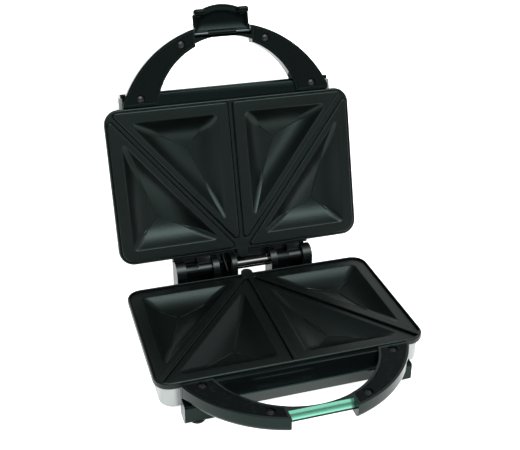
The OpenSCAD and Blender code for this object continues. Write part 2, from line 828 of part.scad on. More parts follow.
module lid_fascia() {
    face_y = hood_y + body_gap;
    top_y = hood_y + hood_edge[1] + body_gap;
    front = [
        [shell_front, -fascia_low], [face_y + 2, -fascia_low], [face_y, -rim_z],
        [face_y, -fascia_side_top], [top_y, -fascia_top], [shell_front, -fascia_top]
    ];
    wall = 3;
    color("#141718") lid_place() mirror([0, 0, 1]) difference() {
        side_profile(-root_x, root_x, front);
        root_space(lid_gap_r);
        for (s = [0, 1]) mirror([s, 0, 0])
            block([root_x - hood_edge[0] - 0.2, root_x + 1], [hood_y, shell_front + 1],
                [-fascia_top - 1, -fascia_side_top]);
        plate_space();
        side_profile(-root_x + fascia_end, root_x - fascia_end, [
            [shell_front + 1, -rim_z - wall], [face_y + 2 + wall, -rim_z - wall],
            [face_y + wall, -2 * rim_z], [face_y + wall, -fascia_side_top + wall / 2],
            [top_y + wall / 2, -fascia_top + wall], [shell_front + 1, -fascia_top + wall]
        ]);
    }
}

// Upper shell

module lid_form(t) {
    hull() {
        slab(shell_w - 2 * t, shell_front + t, shell_back - t, shell_r - t,
            t > 0 ? 0 : rim_z, lid_wall_z);
        slab(shell_w - 2 * t - 2 * crown_mid_in, shell_front + t + crown_mid_in,
            shell_back - t - crown_mid_in, shell_r - t, lid_wall_z, crown_mid_z - t);
        slab(shell_w - 2 * t - 2 * crown_in, shell_front + t + crown_in,
            shell_back - t - crown_in, shell_r - t, crown_mid_z, lid_top - t);
    }
}

module hood_form(x, y, top, side_top, y1) {
    hull() {
        block([-x, x], [y, y1], [rim_z, side_top]);
        block([-x + hood_edge[0], x - hood_edge[0]], [y + hood_edge[1], y1], [rim_z, top]);
    }
}

module lid_shell() {
    color("#d9dcdc") lid_place() difference() {
        union() {
            difference() {
                union() {
                    lid_form(0);
                    difference() {
                        hood_form(hood_x, hood_y, hood_top, hood_z, hood_end);
                        hood_form(root_x + 0.2, hood_y - 1, hood_top - shell_t, hood_z - shell_t,
                            shell_front);
                        block([-root_x - 0.2, root_x + 0.2], [-100, shell_front], [0, rim_z + 4]);
                    }
                }
                lid_form(shell_t);
            }
            for (p = lid_posts) translate([p[0], p[1], reflector_z + reflector_t])
                cylinder(r = post_r, h = lid_top - 0.5 * shell_t - reflector_z - reflector_t);
        }
        for (s = [-1, 1]) translate([s * lens_x, lens_y, reflector_z])
            cylinder(r = lens_r + fit, h = lid_top);
    }
}

module lens(side) {
    top = lid_wall_z + lens_seat;
    translate([side * lens_x, lens_y, 0]) {
        difference() {
            translate([0, 0, top - lens_h]) cylinder(r = lens_r, h = lens_h);
            translate([0, 0, top - lens_h - 1]) cylinder(r = lamp_r + fit, h = lens_h - 1);
        }
        translate([0, 0, top]) intersection() {
            cylinder(r = lens_r, h = lens_dome);
            translate([0, 0, lens_dome - 2 * lens_r]) sphere(r = 2 * lens_r);
        }
    }
}

module lamp(side) {
    low = reflector_z + reflector_t + body_gap;
    color("#e8d8c8") lid_place() translate([side * lens_x, lens_y, low])
        cylinder(r = lamp_r, h = lid_wall_z + lens_seat - lamp_gap - low);
}

// Hinge

// Both knuckle pairs carry the base knuckle on their left and the lid knuckle on their right.
function base_knuckle(c) = [c - pair_half, c - pair_gap];
function lid_knuckle(c) = [c + pair_gap, c + pair_half];
function left_ear(c, w) = [c - pair_half - pair_gap - w, c - pair_half];
function right_ear(c, w) = [c + pair_half + pair_gap, c + pair_half + pair_gap + w];

ears = [
    left_ear(left_pair, outer_ear_w),
    right_ear(left_pair, inner_ear_w),
    left_ear(right_pair, inner_ear_w),
    right_ear(right_pair, outer_ear_w),
    [tie_x[0] - mid_ear_w, tie_x[0]]
];

module ear(x) {
    across(x[0], x[1], hinge_y, hinge_up, ear_r);
    block(x, [ear_web, hinge_y + ear_r], [-block_top, hinge_up]);
}

module hinge_block() {
    beam_x = ears[3][1];
    beam_y = [shell_back, block_back];
    color("#17191a") base_place() difference() {
        union() {
            block([ears[0][0], beam_x], beam_y, [-block_low, -block_top]);
            for (e = ears) ear(e);
            for (c = [left_pair, right_pair]) {
                k = base_knuckle(c);
                across(k[0], k[1], hinge_y, hinge_up, knuckle_r);
                block(k, [hinge_y - knuckle_r + 1, hinge_y + knuckle_r - 1], [-block_top - hair, hinge_up]);
            }
            for (x = [[ears[0][0], tie_x[0]], [ears[2][0], beam_x]])
                block(x, [back_wall_y, block_back], [-block_top - hair, -back_wall_top]);
        }
        across(ears[0][0] + 2, ears[1][1] + 1, hinge_y, hinge_up, pin_r + fit);
        across(ears[2][0] + tie_seat + 1, ears[3][1] - 2, hinge_y, hinge_up, pin_r + fit);
        across(tie_x[0] - tie_seat, ears[2][0] + tie_seat, hinge_y, hinge_up, tie_r + fit);
        block([-26, 26], [shell_back + mould_t, block_back - mould_t - 4],
            [-block_low + 3, -block_top - 2]);
        translate([0, block_back - mould_t - 6, inlet_z]) rotate([-90, 0, 0])
            cylinder(r = inlet_r + inlet_wall + fit, h = block_d);
        translate([lead_x, hinge_y, -block_top - 5]) cylinder(r = lead_r + 0.3, h = 10);
        foot_bores();
    }
}

module hinge_pin(x0, x1) {
    color("#aeb3b6") base_place() across(x0, x1, hinge_y, hinge_up, pin_r);
}

module hinge_tie_bar() {
    color("#1c2022") base_place()
        across(tie_x[0] - tie_seat, ears[2][0] + tie_seat, hinge_y, hinge_up, tie_r);
}

module lid_hinge_bracket() {
    color("#17191a") lid_place() difference() {
        union() {
            block([ears[0][0], ears[3][1]], [shell_back, bracket_y], bracket_z);
            for (c = [left_pair, right_pair]) {
                k = lid_knuckle(c);
                across(k[0], k[1], hinge_y, hinge_up, knuckle_r);
                block(k, [bracket_y - hair, hinge_y], [hinge_up, hinge_up + knuckle_r]);
            }
            for (x = [[ears[1][1] + web_gap, lead_x - web_lead], [tie_x[0] + web_gap, ears[2][0] - web_gap]])
                block(x, [bracket_y - hair, hinge_y - web_back], web_z);
        }
        for (c = [left_pair, right_pair]) {
            k = lid_knuckle(c);
            across(k[0] - 1, k[1] + 1, hinge_y, hinge_up, pin_r + fit);
        }
        translate([lead_x, shell_back - 1, lead_lid_z]) rotate([-90, 0, 0])
            cylinder(r = lead_r + 0.3, h = 30);
    }
}

// Inlet, terminal block and the lead that feeds the upper element

module cord_inlet_bush() {
    color("#222527") base_place() translate([0, block_back - inlet_l + 2, inlet_z])
        rotate([-90, 0, 0]) difference() {
            union() {
                cylinder(r = inlet_r + inlet_wall, h = inlet_l);
                translate([0, 0, inlet_l - 2]) cylinder(r = inlet_r + inlet_flange, h = 2);
            }
            translate([0, 0, -1]) cylinder(r = inlet_r, h = inlet_l + 2);
        }
}

module terminal_block() {
    color("#e6e2d6") base_place() difference() {
        block([-15, 15], [shell_back - 34, shell_back - 22], [-base_floor - 5, -base_floor]);
        for (x = [-9, 0, 9]) translate([x, shell_back - 28, -base_floor - 6]) cylinder(r = 2, h = 4);
    }
}

// The lead leaves the lid's bracket and dips into the hinge block, in the open pose.
lead_end = swung([bracket_y - lead_hold, lead_lid_z]);
lead_start = [hinge_y, -block_top - lead_hold];

function lead_point(t) =
    let (
        lift = 0.5 * (lead_end[1] - lead_start[1]),
        a = lead_start,
        b = lead_start + [0, lift],
        c = lead_end + lift * [cos(lid_open), -sin(lid_open)],
        d = lead_end,
        s = 1 - t
    )
    s * s * s * a + 3 * s * s * t * b + 3 * s * t * t * c + t * t * t * d;

module tube_along(points, r, x, sides) {
    last = len(points) - 1;
    rings = [for (i = [0:last])
        let (
            a = points[max(i - 1, 0)],
            b = points[min(i + 1, last)],
            n = [-(b - a)[1], (b - a)[0]] / norm(b - a)
        )
        for (k = [0:sides - 1]) let (t = 360 * k / sides)
            [x + r * cos(t), points[i][0] + n[0] * r * sin(t), points[i][1] + n[1] * r * sin(t)]];
    faces = [for (i = [0:last - 1], k = [0:sides - 1])
        let (a = i * sides + k, b = i * sides + (k + 1) % sides)
        each [[a, b, b + sides], [a, b + sides, a + sides]]];
    polyhedron(rings, concat([[for (k = [0:sides - 1]) sides - 1 - k]],
        [[for (k = [0:sides - 1]) last * sides + k]], faces));
}

module link_lead() {
    color("#101213") base_place()
        tube_along([for (i = [0:lead_steps]) lead_point(i / lead_steps)], lead_r, lead_x, 8);
}

// Thermostat and fuse on the upper reflector

module thermostat() {
    color("#b9b2a2") lid_place() translate([34, 66, reflector_z + reflector_t]) {
        cylinder(r = 8, h = 5);
        translate([-12, -4, 0]) cube([24, 8, 1]);
    }
}

module thermal_fuse() {
    color("#d8d2c4") lid_place()
        across(-44, -26, 66, reflector_z + reflector_t + 2, 2);
}

// Latch, drawn latched and hanging from its pin, which lies at the origin

module latch_form() {
    difference() {
        union() {
            across(-latch_barrel / 2, latch_barrel / 2, 0, 0, latch_eye_r);
            intersection() {
                block([-latch_half, latch_half], [-latch_in - latch_t, -latch_in], [-latch_l, 0]);
                translate([0, 50, tip_r - latch_l]) rotate([90, 0, 0])
                    cylinder(r = tip_r, h = 100, $fn = 96);
            }
            block([-latch_barrel / 2, latch_barrel / 2], [-latch_in - latch_t, 0], [-latch_eye_r, 0]);
            for (s = [0, 1]) mirror([s, 0, 0])
                block([latch_half - hook_w, latch_half - 0.5], [-latch_in - hair, hook_reach],
                    [-hook_top - hook_t, -hook_top]);
        }
        across(-100, 100, 0, 0, latch_pin_r + fit);
    }
}

module latch() {
    color("#15181a") lid_place() translate([0, pin_y, latch_z]) rotate([-latch_swing, 0, 0]) latch_form();
}

module latch_pin() {
    color("#aeb3b6") lid_place()
        across(-latch_pin_l / 2, latch_pin_l / 2, pin_y, latch_z, latch_pin_r);
}

base_shell();
base_fascia();
base_handle();
base_grip(-1);  // base_grip_left
base_grip(1);  // base_grip_right
base_grip_screws();
base_plate();
base_plate_screws();
base_element();
base_reflector();
bottom_cover();
bottom_cover_screws();
foot(0);  // foot_front_left
foot(1);  // foot_front_right
foot(2);  // foot_rear_left
foot(3);  // foot_rear_right
hinge_block();
hinge_pin(ears[0][0] + 2, ears[1][1]);  // hinge_pin_left
hinge_pin(ears[2][0] + tie_seat + 1, ears[3][1] - 2);  // hinge_pin_right
hinge_tie_bar();
cord_inlet_bush();
terminal_block();
link_lead();
lid_shell();
lid_fascia();
lid_handle();
lid_grip(-1);  // lid_grip_left
lid_grip(1);  // lid_grip_right
lid_grip_screws();
lid_plate();
lid_plate_screws();
lid_element();
lid_reflector();
lid_hinge_bracket();
color("#c8281e") lid_place() lens(-1);  // power_lens
color("#2fa04a") lid_place() lens(1);  // ready_lens
lamp(-1);  // power_lamp
lamp(1);  // ready_lamp
thermostat();
thermal_fuse();
latch_pin();
latch();
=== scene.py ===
"""Looks of a sandwich toaster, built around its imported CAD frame.

Sizes are in millimetres. A piece is modelled in the frame of its half, where Y runs from
the plates' front edge to the hinge and the mating plane is z = 0, with depth below it.
The lower half only moves from there to the row frame. The upper half is mirrored in the
mating plane and swung open about the hinge. A bmesh is brought to metres at the end.
"""

import logging
import math
from dataclasses import dataclass
from enum import Enum
from typing import Iterable, Sequence

import bmesh
import bpy
from mathutils import Matrix, Vector


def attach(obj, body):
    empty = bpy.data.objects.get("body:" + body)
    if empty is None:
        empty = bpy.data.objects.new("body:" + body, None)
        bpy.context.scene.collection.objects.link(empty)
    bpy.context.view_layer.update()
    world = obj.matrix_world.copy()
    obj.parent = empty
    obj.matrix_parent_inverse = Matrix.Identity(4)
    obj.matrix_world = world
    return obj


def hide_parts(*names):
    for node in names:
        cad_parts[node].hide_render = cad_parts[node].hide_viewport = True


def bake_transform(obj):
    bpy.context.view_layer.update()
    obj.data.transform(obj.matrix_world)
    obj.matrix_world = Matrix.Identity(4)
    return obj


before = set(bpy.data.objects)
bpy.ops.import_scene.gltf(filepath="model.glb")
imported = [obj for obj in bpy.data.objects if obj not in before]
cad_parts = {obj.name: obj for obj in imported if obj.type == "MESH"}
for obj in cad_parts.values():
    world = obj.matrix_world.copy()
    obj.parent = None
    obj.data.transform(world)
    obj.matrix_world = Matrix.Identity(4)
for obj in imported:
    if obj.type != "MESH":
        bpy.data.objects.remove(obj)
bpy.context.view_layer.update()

log = logging.getLogger("sandwich_toaster")

MM = 0.001
Point = tuple[float, float]


@dataclass(frozen=True)
class Layout:
    """Sizes in millimetres that several pieces share, as the CAD part has them."""

    plate_w: float = 235.0
    plate_d: float = 144.0
    plate_r: float = 14.0
    close_gap: float = 0.2
    rim_z: float = 6.2
    shell_w: float = 227.0
    shell_front: float = 1.5
    shell_back: float = 140.0
    shell_r: float = 12.0
    base_floor: float = 26.2
    cover_z: float = 33.2
    stand_z: float = 36.2
    lid_wall: float = 26.2
    lid_top: float = 40.2
    root_x: float = 98.0
    root_y: float = -1.0
    handle_z: float = 15.0
    grip_face: float = 1.0
    notch_x: float = 27.0
    hinge_y: float = 158.0
    hinge_z: float = 3.0
    lid_open: float = 107.0
    pin_y: float = -60.5
    latch_z: float = 5.6
    latch_swing: float = 90.0
    middle_y: float = 85.273


LAYOUT = Layout()


class Body(Enum):
    """The CAD bodies. A piece is modelled in the frame of the one that it rides on."""

    BASE = "base"
    LID = "lid"
    LATCH = "latch"

    @property
    def matrix(self) -> Matrix:
        """Brings a point from this body's frame, in millimetres, to its place in the row frame."""
        base = Matrix.Scale(MM, 4) @ Matrix.Translation((0, -LAYOUT.middle_y, LAYOUT.stand_z))
        if self is Body.BASE:
            return base
        hinge = Vector((0, LAYOUT.hinge_y, LAYOUT.hinge_z))
        swing = Matrix.Rotation(math.radians(-LAYOUT.lid_open), 4, "X")
        lid = base @ Matrix.Translation(hinge) @ swing @ Matrix.Translation(-hinge)
        if self is Body.LID:
            return lid @ Matrix.Scale(-1, 4, (0, 0, 1))
        pin = Matrix.Translation((0, LAYOUT.pin_y, LAYOUT.latch_z))
        return lid @ pin @ Matrix.Rotation(math.radians(-LAYOUT.latch_swing), 4, "X")

    @property
    def word(self) -> str:
        """The word for this half in the pieces' names."""
        return "upper" if self is Body.LID else "lower"


def srgb(red: float, green: float, blue: float) -> tuple[float, float, float, float]:
    """Linear colour with full alpha from display values of 0 to 255."""
    def linear(value: float) -> float:
        """One channel, by the standard display curve."""
        share = value / 255
        return share / 12.92 if share <= 0.04045 else ((share + 0.055) / 1.055) ** 2.4

    return (linear(red), linear(green), linear(blue), 1.0)


# Shared shader node groups and finishes


def _socket(tree: bpy.types.NodeTree, name: str, kind: str, way: str, value: float | None) -> None:
    """Adds one named socket to a group's interface.

    Args:
        tree: The group's node tree.
        name: The socket's name.
        kind: Float, Color or Vector.
        way: INPUT or OUTPUT.
        value: The default of a number, or None.
    """
    made = tree.interface.new_socket(name=name, in_out=way, socket_type=f"NodeSocket{kind}")
    if value is not None:
        made.default_value = value


def _math(nodes: bpy.types.Nodes, links: bpy.types.NodeLinks, kind: str, a: object,
          b: object) -> bpy.types.NodeSocket:
    """A math node of two sockets or numbers.

    Returns:
        The node's output.
    """
    node = nodes.new("ShaderNodeMath")
    node.operation = kind
    for slot, value in zip(node.inputs, (a, b)):
        if isinstance(value, bpy.types.NodeSocket):
            links.new(value, slot)
        else:
            slot.default_value = value
    return node.outputs[0]


class EffectGroups:
    """The shader node groups that the finishes share, each built once."""

    def __init__(self) -> None:
        """Builds the three groups."""
        self.grain = self._grain()
        self.rubbing_and_glints = self._rubbed_edges_and_glints()
        self.dust = self._dust()

    @staticmethod
    def _start(name: str, inputs: dict[str, float], outputs: Sequence[str]) -> bpy.types.NodeTree:
        """An empty group with number inputs and outputs, and its two end nodes.

        Args:
            name: The group's name.
            inputs: Names and defaults of the inputs.
            outputs: Names of the outputs.

        Returns:
            The group's node tree.
        """
        tree = bpy.data.node_groups.new(name, "ShaderNodeTree")
        for socket, value in inputs.items():
            _socket(tree, socket, "Float", "INPUT", value)
        for socket in outputs:
            _socket(tree, socket, "Float", "OUTPUT", None)
        tree.nodes.new("NodeGroupInput").name = "in"
        tree.nodes.new("NodeGroupOutput").name = "out"
        return tree

    def _grain(self) -> bpy.types.NodeTree:
        """Moulded or sprayed grain in object space.

        Returns:
            A group that puts out a height and a slow mottling, both about 0 to 1.
        """
        tree = self._start("Surface grain", {"Scale": 900.0, "Stretch": 1.0, "Patch": 14.0},
                           ("Height", "Mottle"))
        nodes, links = tree.nodes, tree.links
        place = nodes.new("ShaderNodeTexCoord").outputs["Object"]
        stretch = nodes.new("ShaderNodeCombineXYZ")
        links.new(nodes["in"].outputs["Stretch"], stretch.inputs[0])
        stretch.inputs[1].default_value = stretch.inputs[2].default_value = 1.0
        scaled = nodes.new("ShaderNodeVectorMath")
        scaled.operation = "MULTIPLY"
        links.new(place, scaled.inputs[0])
        links.new(stretch.outputs[0], scaled.inputs[1])
        fine, slow = nodes.new("ShaderNodeTexNoise"), nodes.new("ShaderNodeTexNoise")
        for node, detail, source in ((fine, 3.0, "Scale"), (slow, 2.0, "Patch")):
            node.inputs["Detail"].default_value = detail
            links.new(scaled.outputs[0], node.inputs["Vector"])
            links.new(nodes["in"].outputs[source], node.inputs["Scale"])
        links.new(fine.outputs[0], nodes["out"].inputs["Height"])
        links.new(slow.outputs[0], nodes["out"].inputs["Mottle"])
        return tree

    def _rubbed_edges_and_glints(self) -> bpy.types.NodeTree:
        """Rubbed edges, found where a rounded normal leaves the true one; on the latch the lighter edge tone is
        also a painted highlight.

        Returns:
            A group that puts out the mask of the edges.
        """
        tree = self._start("Edge wear", {"Radius": 0.0006, "Contrast": 6.0, "Break": 60.0}, ("Mask",))
        nodes, links = tree.nodes, tree.links
        bevel, shape = nodes.new("ShaderNodeBevel"), nodes.new("ShaderNodeNewGeometry")
        bevel.samples = 4
        links.new(nodes["in"].outputs["Radius"], bevel.inputs["Radius"])
        apart = nodes.new("ShaderNodeVectorMath")
        apart.operation = "DOT_PRODUCT"
        links.new(bevel.outputs[0], apart.inputs[0])
        links.new(shape.outputs["Normal"], apart.inputs[1])
        turned = _math(nodes, links, "SUBTRACT", 1.0, apart.outputs["Value"])
        noise = nodes.new("ShaderNodeTexNoise")
        links.new(nodes.new("ShaderNodeTexCoord").outputs["Object"], noise.inputs["Vector"])
        links.new(nodes["in"].outputs["Break"], noise.inputs["Scale"])
        noise.inputs["Detail"].default_value = 4.0
        broken = _math(nodes, links, "MULTIPLY", turned, noise.outputs[0])
        spread = _math(nodes, links, "MULTIPLY", broken, nodes["in"].outputs["Contrast"])
        last = nodes.new("ShaderNodeClamp")
        links.new(spread, last.inputs[0])
        links.new(last.outputs[0], nodes["out"].inputs["Mask"])
        return tree

    def _dust(self) -> bpy.types.NodeTree:
        """Fine dust and lint on faces that look up.

        Returns:
            A group that puts out the mask of the dust.
        """
        tree = self._start("Dust", {"Amount": 0.2, "Scale": 260.0}, ("Mask",))
        nodes, links = tree.nodes, tree.links
        shape, noise = nodes.new("ShaderNodeNewGeometry"), nodes.new("ShaderNodeTexNoise")
        links.new(nodes.new("ShaderNodeTexCoord").outputs["Object"], noise.inputs["Vector"])
        links.new(nodes["in"].outputs["Scale"], noise.inputs["Scale"])
        noise.inputs["Detail"].default_value = 5.0
        parts = nodes.new("ShaderNodeSeparateXYZ")
        links.new(shape.outputs["Normal"], parts.inputs[0])
        upward = nodes.new("ShaderNodeMapRange")
        upward.inputs[1].default_value, upward.inputs[2].default_value = 0.3, 1.0
        links.new(parts.outputs[2], upward.inputs[0])
        specks = nodes.new("ShaderNodeMapRange")
        specks.inputs[1].default_value, specks.inputs[2].default_value = 0.55, 0.75
        links.new(noise.outputs[0], specks.inputs[0])
        both = _math(nodes, links, "MULTIPLY", upward.outputs[0], specks.outputs[0])
        links.new(_math(nodes, links, "MULTIPLY", both, nodes["in"].outputs["Amount"]),
                  nodes["out"].inputs["Mask"])
        return tree


EFFECTS = EffectGroups()


@dataclass(frozen=True)
class Finish:
    """One surface finish, with its shader's constants and the strength of each shared effect.

    A grain's scale counts waves a metre, and its depth is in millimetres.
    """

    name: str
    colour: tuple[float, float, float]
    roughness: float
    metallic: float = 0.0
    specular: float = 0.5
    tint: tuple[float, float, float] = (255.0, 255.0, 255.0)
    coat: float = 0.0
    coat_roughness: float = 0.06
    grain_scale: float = 900.0
    grain_depth: float = 0.01
    stretch: float = 1.0
    patch: float = 14.0
    mottle: float = 0.12
    rough_spread: float = 0.06
    # Colour and strength of rubbed edges. On the latch this light edge tone is a painted highlight: glints on its
    # hooks and rims.
    edge_rub_and_glint: tuple[float, float, float] = (90.0, 95.0, 95.0)
    rubbing_and_glints: float = 0.0
    dust: float = 0.0

    def material(self) -> bpy.types.Material:
        """The finish as a material, built on first use.

        Returns:
            The material.
        """
        found = bpy.data.materials.get(self.name)
        if found:
            return found
        made = bpy.data.materials.new(self.name)
        made.use_nodes = True
        nodes, links = made.node_tree.nodes, made.node_tree.links
        shader = nodes["Principled BSDF"]
        for socket, value in {
            "Metallic": self.metallic, "Specular IOR Level": self.specular,
            "Specular Tint": srgb(*self.tint), "Coat Weight": self.coat,
            "Coat Roughness": self.coat_roughness,
        }.items():
            shader.inputs[socket].default_value = value
        grain = self._group(nodes, EFFECTS.grain, Scale=self.grain_scale, Stretch=self.stretch,
                            Patch=self.patch)
        colour = self._toned(self.colour, self.mottle, grain.outputs["Mottle"], nodes, links)
        rough = _math(nodes, links, "MULTIPLY_ADD", grain.outputs["Mottle"], self.rough_spread)
        rough.node.inputs[2].default_value = self.roughness - self.rough_spread / 2
        # Rubbed edges in a lighter tone; on the latch this is a painted highlight along the edges.
        if self.rubbing_and_glints:
            edge_rub_and_glint = self._group(nodes, EFFECTS.rubbing_and_glints).outputs["Mask"]
            colour = self._over(nodes, links, colour, srgb(*self.edge_rub_and_glint),
                                _math(nodes, links, "MULTIPLY", edge_rub_and_glint, self.rubbing_and_glints))
        if self.dust:
            dust = self._group(nodes, EFFECTS.dust, Amount=self.dust).outputs["Mask"]
            colour = self._over(nodes, links, colour, srgb(176, 176, 168), dust)
            rough = _math(nodes, links, "MAXIMUM", rough, dust)
        links.new(colour, shader.inputs["Base Color"])
        links.new(rough, shader.inputs["Roughness"])
        bump = nodes.new("ShaderNodeBump")
        bump.inputs["Distance"].default_value = self.grain_depth * MM
        links.new(grain.outputs["Height"], bump.inputs["Height"])
        links.new(bump.outputs[0], shader.inputs["Normal"])
        return made

    @staticmethod
    def _group(nodes: bpy.types.Nodes, tree: bpy.types.NodeTree, **values: float) -> bpy.types.Node:
        """A group node with its values set.

        Returns:
            The node.
        """
        node = nodes.new("ShaderNodeGroup")
        node.node_tree = tree
        for socket, value in values.items():
            node.inputs[socket].default_value = value
        return node

    @staticmethod
    def _over(nodes: bpy.types.Nodes, links: bpy.types.NodeLinks, under: object,
              colour: Sequence[float], mask: bpy.types.NodeSocket) -> bpy.types.NodeSocket:
        """Lays a colour over another one, a socket or a colour, by a mask.

        Returns:
            The mixed colour.
        """
        mix = nodes.new("ShaderNodeMixRGB")
        mix.inputs[2].default_value = colour
        if isinstance(under, bpy.types.NodeSocket):
            links.new(under, mix.inputs[1])
        else:
            mix.inputs[1].default_value = under
        links.new(mask, mix.inputs[0])
        return mix.outputs[0]

    @staticmethod
    def _toned(colour: tuple[float, float, float], spread: float, mask: bpy.types.NodeSocket,
               nodes: bpy.types.Nodes, links: bpy.types.NodeLinks) -> bpy.types.NodeSocket:
        """A colour that varies on both sides of its value by a mask.

        Returns:
            The varied colour.
        """
        low, high = ([c * share for c in srgb(*colour)[:3]] + [1.0] for share in (1 - spread, 1 + spread))
        return Finish._over(nodes, links, low, high, mask)


TEAL = (150.0, 205.0, 190.0)

NONSTICK = Finish("Non-stick coating", (6, 10, 9), 0.3, specular=0.34, tint=(212, 243, 236),
                  grain_scale=850, grain_depth=0.17, mottle=0.14, edge_rub_and_glint=(70, 84, 81), rubbing_and_glints=0.45)
GRIP_BLACK = Finish("Matt grip plastic", (13, 16, 16), 0.5, specular=0.06, tint=TEAL,
                    grain_scale=1300, grain_depth=0.02, edge_rub_and_glint=(60, 66, 66), rubbing_and_glints=0.3, dust=0.02)
GLOSS_BLACK = Finish("Glossy black plastic", (8, 11, 12), 0.12, specular=0.36, tint=TEAL, coat=0.06,
                     grain_scale=120, grain_depth=0.01, mottle=0.2, edge_rub_and_glint=(70, 84, 82), rubbing_and_glints=0.3)
SATIN_BLACK = Finish("Satin black plastic", (14, 17, 18), 0.3, tint=TEAL,
                     grain_scale=500, grain_depth=0.015, edge_rub_and_glint=(64, 72, 72), rubbing_and_glints=0.3, dust=0.02)
HINGE_BLACK = Finish("Polished hinge plastic", (7, 9, 10), 0.18, specular=0.4, tint=(215, 232, 228),
                     grain_scale=500, grain_depth=0.012, mottle=0.2, edge_rub_and_glint=(64, 72, 72), rubbing_and_glints=0.3)
LACQUER = Finish("Black lacquer", (10, 12, 13), 0.1, specular=0.9, coat=0.6, grain_scale=400,
                 grain_depth=0.004, mottle=0.15)
SILVER = Finish("Silver painted shell", (164, 170, 168), 0.28, metallic=0.75, coat=0.2,
                grain_scale=2600, grain_depth=0.001, mottle=0.02, rough_spread=0.03)
STEEL = Finish("Bright steel", (188, 192, 194), 0.2, metallic=1.0, grain_scale=900,
               stretch=0.08, grain_depth=0.006, mottle=0.08)
DARK_SCREW = Finish("Blackened screw steel", (13, 16, 17), 0.3, metallic=0.3, grain_scale=1500,
                    grain_depth=0.01, mottle=0.2, edge_rub_and_glint=(110, 116, 116), rubbing_and_glints=0.5)
PIN_STEEL = Finish("Oiled steel", (74, 80, 82), 0.24, metallic=1.0, grain_scale=900,
                   stretch=0.08, grain_depth=0.006, mottle=0.15)
# Painted highlight: the light teal edge tone stands for glints on the latch's hooks and rims.
LATCH_BLACK = Finish("Moulded latch plastic", (4, 6, 7), 0.15, specular=0.12, tint=TEAL, coat=0.06,
                     grain_scale=420, grain_depth=0.09, mottle=0.3, edge_rub_and_glint=(110, 124, 122), rubbing_and_glints=0.5)
# Painted reflection: a teal metallic strip that stands for light on the lower bar's glossy black hollow.
PAINTED_REFLECTION = Finish("Catch strip painted as a teal reflection", (104, 172, 148), 0.2, metallic=0.8, coat=0.2,
               grain_scale=900, grain_depth=0.006, mottle=0.2)
ELEMENT = Finish("Heating element sheath", (120, 116, 108), 0.42, metallic=0.9, grain_scale=1400,
                 grain_depth=0.02, mottle=0.25)
ALUMINIUM = Finish("Bare aluminium sheet", (196, 200, 202), 0.3, metallic=1.0, grain_scale=700,
                   stretch=0.05, grain_depth=0.01, mottle=0.08)
RUBBER = Finish("Foot rubber", (24, 26, 27), 0.7, specular=0.3, grain_scale=1500,
                grain_depth=0.03, dust=0.05)
CABLE = Finish("Cable sheath", (12, 15, 17), 0.2, tint=TEAL, grain_scale=500,
               grain_depth=0.01, mottle=0.2)
STEATITE = Finish("Steatite", (222, 216, 200), 0.55, grain_scale=1200, grain_depth=0.03, mottle=0.06)


@dataclass(frozen=True)
class LensFinish:
    """Clear coloured plastic of an indicator lens, or the glass of its lamp."""

    name: str
    colour: tuple[float, float, float]

    def material(self) -> bpy.types.Material:
        """The finish as a material with plain transmission, built on first use.

        Returns:
            The material.
        """
        found = bpy.data.materials.get(self.name)
        if found:
            return found
        made = bpy.data.materials.new(self.name)
        made.use_nodes = True
        nodes, links = made.node_tree.nodes, made.node_tree.links
        shader = nodes["Principled BSDF"]
        shader.inputs["Transmission Weight"].default_value = 0.7
        shader.inputs["Roughness"].default_value = 0.12
        shader.inputs["Coat Weight"].default_value = 0.5
        grain = Finish._group(nodes, EFFECTS.grain, Scale=300.0, Patch=90.0)
        tone = Finish._toned(self.colour, 0.1, grain.outputs["Mottle"], nodes, links)
        links.new(tone, shader.inputs["Base Color"])
        bump = nodes.new("ShaderNodeBump")
        bump.inputs["Distance"].default_value = 0.02 * MM
        links.new(grain.outputs["Height"], bump.inputs["Height"])
        links.new(bump.outputs[0], shader.inputs["Normal"])
        return made


RED_LENS = LensFinish("Red lens", (200, 26, 18))
GREEN_LENS = LensFinish("Green lens", (36, 160, 70))
LAMP_GLASS = LensFinish("Lamp glass", (235, 220, 200))


# Mesh tools


def outline(bm: bmesh.types.BMesh, points: Iterable[Point], z: float) -> list[bmesh.types.BMEdge]:
    """A closed loop of edges through points at one height.

    Returns:
        The loop's edges, in order.
    """
    verts = [bm.verts.new((x, y, z)) for x, y in points]
    return [bm.edges.new((a, b)) for a, b in zip(verts, verts[1:] + verts[:1])]


def loop_verts(edges: Sequence[bmesh.types.BMEdge]) -> list[bmesh.types.BMVert]:
    """The vertices of a closed loop of ordered edges, in the edges' order."""
    verts = []
    for edge, after in zip(edges, list(edges[1:]) + [edges[0]]):
        shared = set(edge.verts) & set(after.verts)
        verts.append(next(v for v in edge.verts if v not in shared) if len(shared) == 1
                     else edge.verts[0])
    return verts


def skin(bm: bmesh.types.BMesh, edges: list[bmesh.types.BMEdge],
         rings: Iterable[Sequence[Vector]]) -> list[bmesh.types.BMEdge]:
    """Extrudes a loop of edges through further rings with as many points.

    Args:
        bm: The mesh.
        edges: The loop to start from, in order.
        rings: The points of each further ring, in the order of the loop's vertices.

    Returns:
        The last ring's edges, in order.
    """
    verts = loop_verts(edges)
    for ring in rings:
        made = bmesh.ops.extrude_edge_only(bm, edges=edges)["geom"]
        fresh = {v for v in made if isinstance(v, bmesh.types.BMVert)}
        after = []
        for vert, place in zip(verts, ring):
            twin = next(e.other_vert(vert) for e in vert.link_edges if e.other_vert(vert) in fresh)
            twin.co = place
            after.append(twin)
        edges = [bm.edges.get((a, b)) for a, b in zip(after, after[1:] + after[:1])]
        verts = after
    return edges


def lift(points: Iterable[Point], z: float) -> list[Vector]:
    """Points of an outline at one height."""
    return [Vector((x, y, z)) for x, y in points]


